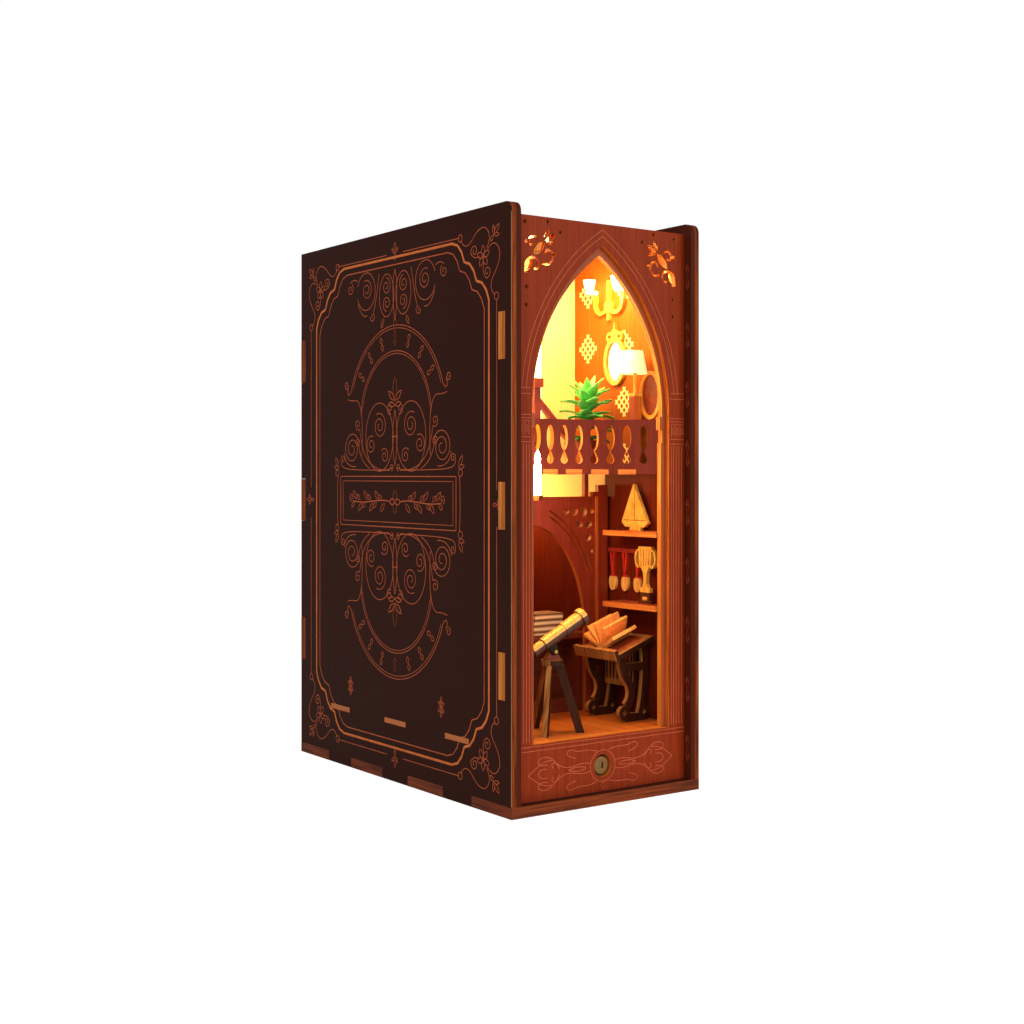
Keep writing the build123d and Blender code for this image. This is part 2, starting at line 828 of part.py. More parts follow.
def lectern_leg_side():
    """An S-shaped leg in (x, z) with a scrolled foot, cut off square under the desk."""
    left = x_room - lectern_reach
    deep = lectern_reach
    high = lectern_lip_z() - floor_top

    def at(u, v):
        return (left + u * deep, floor_top + v * high)

    spine = [
        ThreePointArc(at(0.26, 1.23), at(0.16, 0.925), at(0.30, 0.657)),
        ThreePointArc(at(0.30, 0.657), at(0.406, 0.443), at(0.283, 0.246)),
    ]
    shape = trace(spine, lectern_leg_width)
    shape += trace([ThreePointArc(at(0.736, 1.3), at(0.774, 0.657), at(0.689, 0.175))], lectern_leg_width * 0.9)
    front_x, low = at(0.217, 0)
    back_x, rail_top_z = at(0.736, 0.92)
    eye_z = low + lectern_scroll_radius + 1
    shape += rect(front_x, back_x, low, low + lectern_leg_width)
    shape += rect(at(0.19, 0)[0], at(0.778, 0)[0], rail_top_z - lectern_rail_height, rail_top_z)
    for x in (front_x, back_x):
        shape += Pos(x, eye_z) * Circle(lectern_scroll_radius)
        shape -= Pos(x, eye_z) * Circle(lectern_scroll_eye)
    return shape & rect(0, x_room, floor_top, case_height)


def lectern_legs():
    near, far = lectern_span()
    legs = []
    for y in (near + lectern_leg_inset, far - lectern_leg_inset - ply):
        legs.append(front_board(lectern_leg_side(), y, ply) & under_lectern())
    return Compound(children=legs)


def lectern_back():
    """The slatted panel between the legs."""
    near, far = lectern_span()
    near += lectern_leg_inset + ply
    far -= lectern_leg_inset + ply
    top = lectern_lip_z() + lectern_reach * 0.21
    low = top - lectern_panel_height
    panel = rect(near, far, low, top)
    step = (far - near) / lectern_slat_count
    for i in range(lectern_slat_count):
        start = near + i * step
        slot = rect(start + 0.32 * step, start + 0.68 * step, low + lectern_panel_rail, top - lectern_panel_rail)
        panel -= slot
    return side_board(panel, x_room - lectern_reach * 0.46, plaque) & under_lectern()


def book_place():
    """The open book's spine line, along the slope, on the desk board."""
    near, far = lectern_span()
    return lectern_place() * Pos(book_offset, (near + far) / 2, ply)


def book_cover():
    return book_place() * slab(0, book_cover_length, -book_half_span, book_half_span, 0, book_cover_thickness)


def book_leaves():
    """Blocks of leaves fanned about the spine."""
    start = leaf_inset
    end = leaf_inset + leaf_length
    low = book_cover_thickness
    spine_half = book_spine_width / 2
    fan = slab(start, end, -spine_half, spine_half, low, low + book_spine_height)
    for lean, thickness in leaf_blocks:
        block = slab(0, leaf_length, -thickness / 2, thickness / 2, 0, leaf_height)
        fan += Pos(start, 0, low) * Rot(-lean, 0, 0) * block
    above = slab(0, case_height, -case_height, case_height, low, case_height)
    return book_place() * (fan & above)


def desk():
    """The writing desk behind the door arch, with drawers and a plinth step."""
    left = -desk_left
    right = x_room - desk_wall_gap
    far = desk_front + desk_depth
    under = desk_top - ply
    in_left = left + desk_end_overhang + ply
    in_right = right - desk_end_overhang - ply
    front = desk_front + desk_overhang
    back = far - desk_overhang
    body = slab(left, right, desk_front, far, under, desk_top)
    body += slab(in_left - ply, in_left, front, back, floor_top, under)
    body += slab(in_right, in_right + ply, front, back, floor_top, under)
    body += slab(in_left, in_right, back - ply, back, floor_top, under)
    plinth_top = floor_top + desk_plinth_height
    body += slab(in_left, in_left + desk_drawers_width, front + plaque / 2, back - ply, plinth_top, under)
    body += slab(in_left, in_right, front, front + desk_plinth_depth, floor_top, plinth_top)
    return body


def closed_book(length, depth, thickness):
    """A bound book lying flat, its spine towards the front, on z = 0."""
    block = slab(-length / 2, length / 2, -depth / 2, depth / 2, 0, thickness)
    groove = slab(-length, length, -depth / 2 + binding, depth, binding, thickness - binding)
    pages = slab(
        -length / 2 + page_inset, length / 2 - page_inset, -depth / 2, depth / 2 - page_inset, 0, thickness
    )
    return block - (groove - pages)


def book_stack():
    """Closed books lying on the desk."""
    books = []
    z = desk_top
    for length, depth, thickness in stack_books:
        books.append(Pos(stack_x, desk_middle, z) * closed_book(length, depth, thickness))
        z += thickness
    return Compound(children=books)


def vase():
    """A tall turned vase on the desk."""
    high = vase_height
    foot = vase_foot_radius
    lip = vase_lip_radius
    sides = ((foot, 0), (foot * 1.06, 0.26 * high), (foot * 1.3, 0.69 * high))
    mouth = ((lip * 0.9, 0.93 * high), (lip, 0.957 * high), (lip, high))
    return Pos(vase_x, desk_middle, desk_top) * turned(((0, 0),) + sides + mouth + ((0, high),))


def tripod_legs():
    """Three flat splayed legs, cut level at the floor and under the plate."""
    top = tripod_plate_top - ply
    half = tripod_leg_width / 2
    legs = []
    for foot_x, foot_y in tripod_feet:
        reach = math.hypot(foot_x, foot_y)
        turn = math.degrees(math.atan2(foot_y, foot_x))
        head = ((tripod_leg_inset, top), (tripod_leg_inset + tripod_leg_width, top))
        side = outline(*head, (reach + half, floor_top), (reach - half, floor_top))
        legs.append(Pos(tripod_x, tripod_y, 0) * Rot(0, 0, turn) * front_board(side, -ply / 2, ply))
    return Compound(children=legs)


def tripod_plate():
    return Pos(tripod_x, tripod_y, 0) * post(tripod_plate_radius, tripod_plate_top - ply, tripod_plate_top)


def pivot_pin_at(radius, length):
    return Pos(tripod_x, tripod_y, pivot_height) * Rot(90, 0, 0) * Cylinder(radius, length)


def telescope_bracket():
    """The upright wedge on the tripod plate that carries the pivot pin."""
    foot = bracket_foot / 2
    eye = bracket_eye_radius
    low = tripod_plate_top
    side = outline((-foot, low), (foot, low), (eye, pivot_height), (-eye, pivot_height))
    side += Pos(0, pivot_height) * Circle(eye)
    return Pos(tripod_x) * front_board(side, tripod_y - ply / 2, ply) - pivot_pin_at(pivot_radius, 4 * ply)


def telescope_place():
    """The tube's own frame: x along the tube, origin square above the pivot."""
    return Pos(tripod_x, tripod_y, pivot_height) * Rot(0, -tube_slope, 0) * Pos(0, 0, tube_offset)


def telescope_tube():
    """The stepped tube with its bell mouth and eyepiece."""
    r = tube_radius
    bell = tube_front - bell_length
    mouth = tube_front - bell_length * 0.6
    eye = -tube_rear + eyepiece_length
    rear_points = ((-tube_rear, 0), (-tube_rear, r / 2), (eye, r / 2), (eye, 0.75 * r), (-tube_rear / 4, 0.75 * r))
    middle_points = ((-tube_rear / 4, middle_tube_radius), (0.43 * tube_front, middle_tube_radius))
    front_points = ((0.43 * tube_front, r), (bell, r), (bell, 1.25 * r), (tube_front, 1.25 * r))
    mouth_points = ((tube_front, 0.88 * r), (mouth, 0.88 * r), (mouth, 0))
    profile = outline(*rear_points, *middle_points, *front_points, *mouth_points)
    return telescope_place() * revolve(profile, Axis.X)


def telescope_saddle():
    """Two lugs under the tube that turn on the pivot pin."""
    offset = ply / 2 + run_gap
    eye = saddle_eye_radius
    points = ((-saddle_width / 2, -tube_radius / 6), (saddle_width / 2, -tube_radius / 6), (eye, -tube_offset))
    side = outline(*points, (-eye, -tube_offset))
    side += Pos(0, -tube_offset) * Circle(eye)
    side -= Pos(0, -tube_offset) * Circle(pivot_radius + pin_fit)
    tube = Rot(0, 90, 0) * Cylinder(middle_tube_radius, tube_front)
    lugs = []
    for y in (-offset - saddle_thickness, offset):
        lugs.append(telescope_place() * (front_board(side, y, saddle_thickness) - tube))
    return Compound(children=lugs)


def pivot_pin():
    return pivot_pin_at(pivot_radius, ply + 2 * (run_gap + saddle_thickness + pin_head))


def plant_place():
    return Pos(x_room - plant_inset, backing_back + plant_back, balcony_top)


def soil_height():
    return pot_height - 1.3 * pot_wall


def plant_pot():
    """A flared pot with a rim, filled almost to the top."""
    r = pot_radius
    neck = r - pot_wall / 2
    rim_low = pot_height * 0.85
    sides = ((0, 0), (pot_foot_radius, 0), (neck, rim_low), (r, rim_low), (r, pot_height))
    inside = ((r - pot_wall, pot_height), (r - 1.1 * pot_wall, soil_height()), (0, soil_height()))
    return plant_place() * turned(sides + inside)


def plant_leaves():
    """A tuft of long leaves rising from the pot in three rings."""
    tuft = post(blade_width * 0.7, soil_height(), soil_height() + pot_height * 0.7)
    for ring, (rise, count, length) in enumerate(leaf_rings):
        blade = extrude(leaf(length, blade_width), blade_thickness)
        start = soil_height() + (0.15 + 0.25 * ring) * pot_height
        for i in range(count):
            turn = Rot(0, 0, 25 * ring + i * 360 / count)
            tuft += Pos(0, 0, start) * turn * Rot(0, -rise, 0) * blade
    return plant_place() * tuft


def pedestal_corner():
    """The pedestal's right and near sides."""
    right = x_room - pedestal_inset
    return right, bow_back_at(right - pedestal_width) + pedestal_gap


def lamp_pedestal():
    """The narrow stand by the right wall that the table lamp stands on."""
    right, near = pedestal_corner()
    top = balcony_top + pedestal_height
    return slab(right - pedestal_width, right, near, near + pedestal_width, balcony_top, top)


def lamp_place():
    """The table lamp's foot, on top of the pedestal."""
    right, near = pedestal_corner()
    half = pedestal_width / 2
    return Pos(right - half, near + half, balcony_top + pedestal_height)


def lamp_arm_z():
    return lamp_star_thickness + lamp_stem_height - lamp_arm_height


def lamp_stand():
    """The table lamp's star foot, stem and arm under the shade."""
    star = Sketch() + Circle(lamp_star_reach / 2)
    for i in range(4):
        point = figure(0, 0, 0.4 * lamp_star_reach, lamp_star_reach, ((-1, 0.12), (1, 0.12), (0, 1)))
        star += Rot(0, 0, 45 + 90 * i) * point
    low = lamp_arm_z()
    stand = extrude(star, lamp_star_thickness)
    stand += post(lamp_stem_radius, lamp_star_thickness, lamp_star_thickness + lamp_stem_height)
    stand += flat_board(trace([Line((0, 0), lamp_arm)], lamp_arm_width), low, lamp_arm_height)
    stand += Pos(*lamp_arm) * post(lamp_holder_radius, low, low + lamp_holder_height)
    return lamp_place() * stand


def lamp_shade():
    """A tapered shade, open below, closed above on its lamp holder."""
    low = lamp_arm_z() - shade_hang
    top = low + shade_height
    seat = lamp_arm_z() + lamp_holder_height
    wall = shade_wall
    outside = ((shade_bottom_radius - wall, low), (shade_bottom_radius, low), (shade_top_radius, top), (0, top))
    boss = ((0, seat), (lamp_holder_radius, seat), (lamp_holder_radius, top - wall))
    shade = Pos(*lamp_arm) * turned(outside + boss + ((shade_top_radius - 0.8 * wall, top - wall),))
    away = (-lamp_arm[0], -lamp_arm[1])
    path = Pos(*lamp_arm) * trace([Line((0, 0), (1.6 * away[0], 1.6 * away[1]))], lamp_arm_width + 2 * shade_notch_fit)
    notch_top = lamp_arm_z() + lamp_arm_height + shade_notch_fit
    return lamp_place() * (shade - flat_board(path, low - 1, notch_top - low + 1))


def oval_ring(half_width, half_height, rim):
    return Ellipse(half_width, half_height) - Ellipse(half_width - rim, half_height - rim)


def mirror_frame():
    """The oval mirror's frame with a scrolled crest."""
    half = mirror_width / 2
    high = mirror_height / 2
    crest = mirror_crest
    ring = Sketch() + Ellipse(half, high)
    ring += Pos(0, high + 0.2 * crest) * Circle(0.343 * crest)
    for side in (-1, 1):
        curl = Circle(0.33 * crest) - Circle(0.143 * crest)
        ring += Pos(side * 0.486 * crest, high + 0.03 * crest) * curl
    ring += figure(0, high, 0.17 * crest, crest, ((-1, 0.36), (1, 0.36), (0, 1)))
    ring -= Ellipse(half - mirror_rim, high - mirror_rim)
    return side_board(Pos(backing_back + mirror_back, mirror_z) * ring, x_room - plaque, plaque)


def mirror_glass():
    glass = Ellipse(mirror_width / 2 - mirror_rim, mirror_height / 2 - mirror_rim)
    return side_board(Pos(backing_back + mirror_back, mirror_z) * glass, x_room - glass_thickness, glass_thickness)


def picture_place():
    return Pos(backing_back + picture_back, rail_top + picture_gap + picture_height / 2)


def picture_frame():
    ring = picture_place() * oval_ring(picture_width / 2, picture_height / 2, picture_rim)
    return side_board(ring, x_room - picture_thickness, picture_thickness)


def picture_card():
    card = picture_place() * Ellipse(picture_width / 2 - picture_rim, picture_height / 2 - picture_rim)
    return side_board(card, x_room - card_thickness, card_thickness)


def wall_lamp():
    """The two-armed wall lamp above the mirror: a flat scrolled plate."""
    arm = wall_lamp_arm
    half = wall_lamp_arm_width / 2
    plate = Sketch() + Circle(wall_lamp_rose)
    plate += rect(-half, half, -wall_lamp_fall, wall_lamp_rise)
    for side in (-1, 1):
        sweep = CenterArc((side * arm, 0.4 * arm), arm, 180 if side > 0 else 0, side * 180)
        plate += trace([sweep], wall_lamp_arm_width)
        plate += Pos(side * cup_offset, 0.72 * arm) * Ellipse(0.24 * arm, 0.56 * arm)
    return side_board(Pos(wall_lamp_y, wall_lamp_z) * plate, x_room - plaque, plaque)


def wall_lamp_cups():
    """The two lamp cups on the arms' ends."""
    cup = turned(((0, 0), (cup_foot_radius, 0), (cup_radius, cup_height), (0, cup_height)))
    x = x_room - plaque - cup_radius
    half = cup_strap / 2
    cups = []
    for side in (-1, 1):
        y = wall_lamp_y + side * cup_offset
        strap = slab(x, x_room, y - half, y + half, cup_foot_z, cup_foot_z + 2 * cup_strap)
        cups.append(Pos(x, y, cup_foot_z) * cup + strap)
    return Compound(children=cups)


def candle_bracket():
    """A hooked bracket on the front of the balustrade that holds the candle lamp."""
    back = bow_centre_y + bow_radius
    front = candle_y - candle_seat
    inner = back - hook_depth
    low = candle_foot - ply
    top = balcony_top + hook_rise
    hook = outline((front, low), (back, low), (back, top), (inner, top), (inner, candle_foot), (front, candle_foot))
    inside_bow = Pos(0, bow_centre_y, 0) * Cylinder(bow_radius, 2 * case_height)
    return side_board(hook, candle_x - ply / 2, ply) & inside_bow


def candle_lamp():
    """A candle-shaped light with a pointed flame."""
    r = flame_radius
    wick = candle_height + 0.1 * flame_height
    wide = candle_height + 0.4 * flame_height
    narrow = candle_height + 0.76 * flame_height
    candle = ((0, 0), (candle_radius, 0), (candle_radius, candle_height))
    flame = ((0.75 * r, wick), (r, wide), (0.6 * r, narrow), (0, candle_height + flame_height))
    return Pos(candle_x, candle_y, candle_foot) * turned(candle + flame)


def light_strip():
    """A strip of small lights under the roof."""
    y0 = backing_back + strip_back
    middle = y0 + strip_width / 2
    under = ceiling - strip_thickness
    half = chip_size / 2
    strip = slab(-strip_length / 2, strip_length / 2, y0, y0 + strip_width, under, ceiling)
    for i in range(chip_count):
        x = (i - (chip_count - 1) / 2) * chip_pitch
        strip += slab(x - half, x + half, middle - half, middle + half, under - chip_height, under)
    return strip


def circuit_board():
    half = circuit_width / 2
    deep = circuit_depth / 2
    middle = backing_back + circuit_back
    top = base_top + circuit_thickness
    board = slab(-half, half, middle - deep, middle + deep, base_top, top)
    for across, back, width, depth, height in circuit_parts:
        board += Pos(across, middle + back, top + height / 2) * Box(width, depth, height)
    return board


def along_y(radius, y0, y1):
    """A rod on the button's axis from y0 to y1."""
    return Pos(0, (y0 + y1) / 2, button_height) * Rot(90, 0, 0) * Cylinder(radius, y1 - y0)


def button_cap():
    """The round cap with its square recess, and the stem behind it."""
    face = frame_front + button_recess
    cap = along_y(button_radius, face, face + button_thickness)
    cap += along_y(stem_radius, face + button_thickness, stem_end)
    return cap - Pos(0, face, button_height) * Box(button_slot, 2 * button_slot_depth, button_slot)


def switch_body():
    """The switch's housing, bored for the stem, its travel and the spring behind."""
    half = switch_width / 2
    body = slab(-half, half, backing_back, backing_back + switch_length, button_height - half, button_height + half)
    return body - along_y(stem_radius + pin_fit, backing_back - 1, stem_end + spring_room)


def switch_spring():
    """The return spring, seated at the bore's end and clear of the stem's travel."""
    height = spring_length - spring_wire
    path = Helix(pitch=height / spring_turns, height=height, radius=stem_radius - spring_wire)
    start = Plane(origin=path @ 0, z_dir=path % 0)
    coil = sweep(start * Rectangle(spring_wire, spring_wire), path=path)
    near = stem_end + button_travel + spring_wire / 2
    return Pos(0, near, button_height) * Rot(-90, 0, 0) * coil


def battery_tray():
    """An open tray with a door that fills the opening in the back."""
    half = tray_outer_half
    low = base_top + run_gap
    top = tray_floor_top + 2 * cell_radius
    tray = slab(-half, half, tray_near - tray_wall, tray_far + tray_wall, low, top)
    tray -= slab(-tray_inner_half, tray_inner_half, tray_near, tray_far, tray_floor_top, top + 1)
    door = slab(-tray_door_half, tray_door_half, inner_back, y_back, low, base_top + tray_door_height)
    notch = Pos(0, y_back, base_top + tray_door_height) * Rot(90, 0, 0) * Cylinder(finger_notch_radius, 4 * ply)
    return tray + (door - notch)


def cell_rows():
    """The cells' centres in y."""
    pitch = 2 * cell_radius + cell_gap
    return [tray_near + cell_gap + cell_radius + i * pitch for i in range(cell_count)]


def cells():
    """The round cells, side by side across the tray."""
    z = tray_floor_top + cell_radius
    half = cell_length / 2
    row = []
    for y in cell_rows():
        body = Pos(-cell_nub_length / 2, y, z) * Rot(0, 90, 0) * Cylinder(cell_radius, cell_length - cell_nub_length)
        nub = Pos(half - cell_nub_length / 2, y, z) * Rot(0, 90, 0) * Cylinder(cell_nub_radius, cell_nub_length)
        row.append(body + nub)
    return Compound(children=row)


def battery_contacts():
    """The metal plates at both ends of the cells."""
    half = contact_width / 2
    plates = []
    for side in (-1, 1):
        low, high = sorted((side * (tray_inner_half - contact_thickness), side * tray_inner_half))
        for y in cell_rows():
            top = tray_floor_top + contact_height
            plates.append(slab(low, high, y - half, y + half, tray_floor_top, top))
    return Compound(children=plates)


def tray_runners():
    """The two rails on the base that guide the tray."""
    inner = tray_outer_half + run_gap
    outer = inner + runner_width
    rails = []
    for side in (-1, 1):
        low, high = sorted((side * inner, side * outer))
        near = tray_near - runner_lead
        rails.append(slab(low, high, near, inner_back - run_gap, base_top, base_top + runner_height))
    return Compound(children=rails)


NODES = {
    "base_lower": lambda: flat_board(base_plan(), 0, ply),
    "base_upper": lambda: flat_board(base_plan(), ply, ply),
    "left_cover": lambda: side_board(side_wall(False), -half_w, ply),
    "left_liner": lambda: side_board(side_wall(True), -x_liner, ply),
    "right_cover": lambda: side_board(side_wall(False), x_liner, ply),
    "right_liner": lambda: side_board(right_liner_board(), x_room, ply),
    "back_outer": lambda: front_board(back_board(), y_back - ply, ply),
    "back_inner": lambda: front_board(back_board(), inner_back, ply),
    "roof_board": lambda: flat_board(tabbed_floor(backing_back, inner_back, x_liner), ceiling, ply),
    "front_frame": front_frame,
    "front_frame_backing": front_frame_backing,
    "floor_board": lambda: flat_board(tabbed_floor(backing_back, inner_back, half_w), floor_top - ply, ply),
    "balcony_floor": lambda: flat_board(bow_plan(inner_back), balcony_under, ply),
    "balustrade": balustrade,
    "newel_and_handrail": newel_and_handrail,
    "cross_wall": cross_wall,
    "wall_post": wall_post,
    "upper_back_wall": upper_back_wall,
    "door_diffuser": door_diffuser,
    "shelves": shelves,
    "sailboat": sailboat,
    "medal_rail": medal_rail,
    "medals": medals,
    "trophy": trophy,
    "lectern_top": lectern_top,
    "lectern_legs": lectern_legs,
    "lectern_back": lectern_back,
    "book_cover": book_cover,
    "book_leaves": book_leaves,
    "desk": desk,
    "book_stack": book_stack,
    "vase": vase,
    "tripod_legs": tripod_legs,
    "tripod_plate": tripod_plate,
    "telescope_bracket": telescope_bracket,
    "pivot_pin": pivot_pin,
    "telescope_tube": telescope_tube,
    "telescope_saddle": telescope_saddle,
    "plant_pot": plant_pot,
    "plant_leaves": plant_leaves,
    "lamp_pedestal": lamp_pedestal,
    "lamp_stand": lamp_stand,
    "lamp_shade": lamp_shade,
    "mirror_frame": mirror_frame,
    "mirror_glass": mirror_glass,
    "picture_frame": picture_frame,
    "picture_card": picture_card,
    "wall_lamp": wall_lamp,
    "wall_lamp_cups": wall_lamp_cups,
    "candle_bracket": candle_bracket,
    "candle_lamp": candle_lamp,
    "light_strip": light_strip,
    "circuit_board": circuit_board,
    "switch_body": switch_body,
    "button_cap": button_cap,
    "switch_spring": switch_spring,
    "battery_tray": battery_tray,
    "battery_contacts": battery_contacts,
    "cells": cells,
    "tray_runners": tray_runners,
}

os.makedirs("parts", exist_ok=True)
for name, make in NODES.items():
    export_step(make(), "parts/" + name + ".step")
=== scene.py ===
import bmesh
import bpy
import math
from mathutils import Matrix, Vector


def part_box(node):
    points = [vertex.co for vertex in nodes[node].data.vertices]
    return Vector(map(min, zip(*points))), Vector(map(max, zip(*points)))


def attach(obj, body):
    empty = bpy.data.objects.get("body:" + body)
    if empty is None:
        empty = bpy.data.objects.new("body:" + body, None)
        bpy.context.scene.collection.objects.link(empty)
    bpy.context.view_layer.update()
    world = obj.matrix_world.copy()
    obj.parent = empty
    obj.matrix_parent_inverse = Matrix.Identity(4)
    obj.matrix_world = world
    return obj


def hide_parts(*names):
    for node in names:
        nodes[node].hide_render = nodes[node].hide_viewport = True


# A lit wooden book nook, seen from its front left. Lengths are in millimetres here, and become
# metres as things are placed. The boards' places come from the frame.

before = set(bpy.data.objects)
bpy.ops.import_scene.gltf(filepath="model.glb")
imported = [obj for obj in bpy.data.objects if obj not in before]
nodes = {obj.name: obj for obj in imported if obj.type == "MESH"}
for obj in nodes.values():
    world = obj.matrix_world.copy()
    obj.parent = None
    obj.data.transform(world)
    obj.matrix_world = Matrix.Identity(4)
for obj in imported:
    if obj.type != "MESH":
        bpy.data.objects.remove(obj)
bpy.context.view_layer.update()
scene = bpy.context.scene
scene.view_settings.view_transform = "Standard"
mm = 0.001


def box_mm(node):
    """The lowest and highest corner of a board or piece, in millimetres."""
    low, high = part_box(node)
    return low / mm, high / mm


cover_low, cover_high = box_mm("left_cover")
right_outer = box_mm("right_cover")[1].x
frame_front = box_mm("front_frame")[0].y
x_room = box_mm("balustrade")[1].x  # the room's right side, which the balustrade reaches
floor_top = box_mm("floor_board")[1].z
balcony_top = box_mm("balcony_floor")[1].z
ceiling = box_mm("roof_board")[0].z
ledge_top = 125.6  # just under the top of the cross wall, between its two ends
cross_wall_back = box_mm("cross_wall")[1].y
ornament_rise = 1.8  # the covers' ornament is centred this far above their middle
cover_middle = (cover_low.z + cover_high.z) / 2 + ornament_rise

# Front arch, as in the CAD
arch_half = 36.7
arch_spring = 163.0
arch_apex = 232.0
button_z = 15.2
bow_centre = -107.0  # y of the balcony bow's centre

# Engraving
line_depth = 0.05  # thickness of a line's ribbon
line_gap = 0.03  # from a face to the middle of a ribbon laid on it
recess_gap = 0.04  # the same, on the side wall
cover_gap = 0.01  # left between an inset cover and its ribbons
thin_line = 0.42
hair_line = 0.8 * thin_line
middle_line = 0.6
thick_line = 1.3
frame_line = 0.24
strap_line = 0.26
recess_line = 0.3
rim_line = 0.28  # the painted highlight down a cover's front edge
rim_in = 0.25


# Finishes


def colour(code):
    """An sRGB hex colour as linear red, green, blue and alpha."""
    channels = [int(code[i : i + 2], 16) / 255 for i in (1, 3, 5)]
    return tuple(c / 12.92 if c <= 0.04045 else ((c + 0.055) / 1.055) ** 2.4 for c in channels) + (1.0,)


def add(tree, kind, values=None, links=None, **settings):
    """Adds a shader node with its settings, input values and links."""
    node = tree.nodes.new("ShaderNode" + kind)
    for key, value in settings.items():
        setattr(node, key, value)
    for key, value in (values or {}).items():
        node.inputs[key].default_value = value
    for key, socket in (links or {}).items():
        tree.links.new(socket, node.inputs[key])
    return node


def blank(name):
    """A new material with its tree, shader and object coordinates."""
    material = bpy.data.materials.new(name)
    material.use_nodes = True
    tree = material.node_tree
    shader = tree.nodes["Principled BSDF"]
    coordinates = add(tree, "TexCoord")
    return material, tree, shader, coordinates


def streaks(tree, coordinates, size):
    """Wood grain: noise drawn out to (x, y, z) sizes in millimetres, from 0 to 1."""
    scale = tuple(1 / (s * mm) for s in size)
    stretched = add(tree, "Mapping", {"Scale": scale}, {"Vector": coordinates.outputs["Object"]})
    noise = add(
        tree, "TexNoise", {"Scale": 1.0, "Detail": 4.0, "Roughness": 0.6}, {"Vector": stretched.outputs[0]}
    )
    return add(
        tree,
        "MapRange",
        {"From Min": 0.3, "From Max": 0.7, "To Min": 0.0, "To Max": 1.0},
        {"Value": noise.outputs["Fac"]},
    ).outputs[0]


def between(tree, factor, low, high):
    """Mixes two colours, given as hex codes or sockets."""
    mix = add(tree, "Mix", links={0: factor}, data_type="RGBA")
    for index, value in ((6, low), (7, high)):
        if isinstance(value, str):
            mix.inputs[index].default_value = colour(value)
        else:
            tree.links.new(value, mix.inputs[index])
    return mix.outputs[2]


face_limit = 0.7  # how squarely a surface looks along the axis where a broad face starts
bow_limit = 0.8


def is_face(tree, coordinates, axis):
    """1 on the broad faces of a board that is flat across the axis, 0 on its cut edges."""
    if axis == "BOW":
        return is_bowed_face(tree, coordinates)
    parts = add(tree, "SeparateXYZ", links={0: coordinates.outputs["Normal"]})
    size = add(tree, "Math", links={0: parts.outputs["XYZ".index(axis)]}, operation="ABSOLUTE")
    return add(tree, "Math", {1: face_limit}, {0: size.outputs[0]}, operation="GREATER_THAN").outputs[0]


def is_bowed_face(tree, coordinates):
    """1 on the faces of the bent balustrade, which look to or from the centre of its bow."""
    spot = coordinates.outputs["Object"]
    away = add(tree, "VectorMath", {1: (0, bow_centre * mm, 0)}, {0: spot}, operation="SUBTRACT")
    level = add(tree, "VectorMath", {1: (1, 1, 0)}, {0: away.outputs[0]}, operation="MULTIPLY")
    outward = add(tree, "VectorMath", links={0: level.outputs[0]}, operation="NORMALIZE")
    sides = {0: outward.outputs[0], 1: coordinates.outputs["Normal"]}
    facing = add(tree, "VectorMath", links=sides, operation="DOT_PRODUCT")
    size = add(tree, "Math", links={0: facing.outputs["Value"]}, operation="ABSOLUTE")
    return add(tree, "Math", {1: bow_limit}, {0: size.outputs[0]}, operation="GREATER_THAN").outputs[0]


speck_size = 2.5
grain_width = 0.9
grain_length = 26.0
ply_layer = 0.8  # drawn coarser than a real 0.5 mm ply, so that it shows at this distance


def plywood(name, axis, grain, face, face_light, edge, edge_light, roughness=0.5, shine=0.5):
    """Laser-cut plywood: printed grain on its broad faces, and darker layered streaks on its edges."""
    material, tree, shader, coordinates = blank(name)
    size = [grain_width] * 3
    size["XYZ".index(grain)] = grain_length
    along = streaks(tree, coordinates, size)
    layers = [grain_length] * 3
    if axis != "BOW":
        layers["XYZ".index(axis)] = ply_layer
    layered = streaks(tree, coordinates, layers)
    face_colour = between(tree, along, face, face_light)
    edge_colour = between(tree, layered, edge, edge_light)
    paint = between(tree, is_face(tree, coordinates, axis), edge_colour, face_colour)
    tree.links.new(paint, shader.inputs["Base Color"])
    bump = add(tree, "Bump", {"Strength": 0.25, "Distance": 0.1 * mm}, {"Height": along})
    tree.links.new(bump.outputs[0], shader.inputs["Normal"])
    rough = add(tree, "MapRange", {"To Min": roughness - 0.06, "To Max": roughness + 0.1}, {"Value": along})
    tree.links.new(rough.outputs[0], shader.inputs["Roughness"])
    shader.inputs["Specular IOR Level"].default_value = shine
    return material


def stained(name, low, high, roughness=0.5, speck=speck_size):
    """Stained or painted small pieces: soft mottling at the size of the brush or the pulp."""
    material, tree, shader, coordinates = blank(name)
    mottle = streaks(tree, coordinates, (speck, speck, speck * 2))
    tree.links.new(between(tree, mottle, low, high), shader.inputs["Base Color"])
    bump = add(tree, "Bump", {"Strength": 0.2, "Distance": 0.1 * mm}, {"Height": mottle})
    tree.links.new(bump.outputs[0], shader.inputs["Normal"])
    shader.inputs["Roughness"].default_value = roughness
    return material


def metal(name, low, high, roughness):
    """Metal with faint brushing, so that its glint isn't even."""
    material = stained(name, low, high, roughness, 0.6)
    material.node_tree.nodes["Principled BSDF"].inputs["Metallic"].default_value = 1.0
    return material


patch_size = 9.0


def glowing(name, code, strength, surface="#fff0c8"):
    """A frosted lamp or lit sheet: bright all over, a little stronger in soft patches."""
    material, tree, shader, coordinates = blank(name)
    patches = streaks(tree, coordinates, [patch_size] * 3)
    tree.links.new(between(tree, patches, code, surface), shader.inputs["Emission Color"])
    shader.inputs["Base Color"].default_value = colour(surface)
    shader.inputs["Emission Strength"].default_value = strength
    shader.inputs["Roughness"].default_value = 0.6
    return material


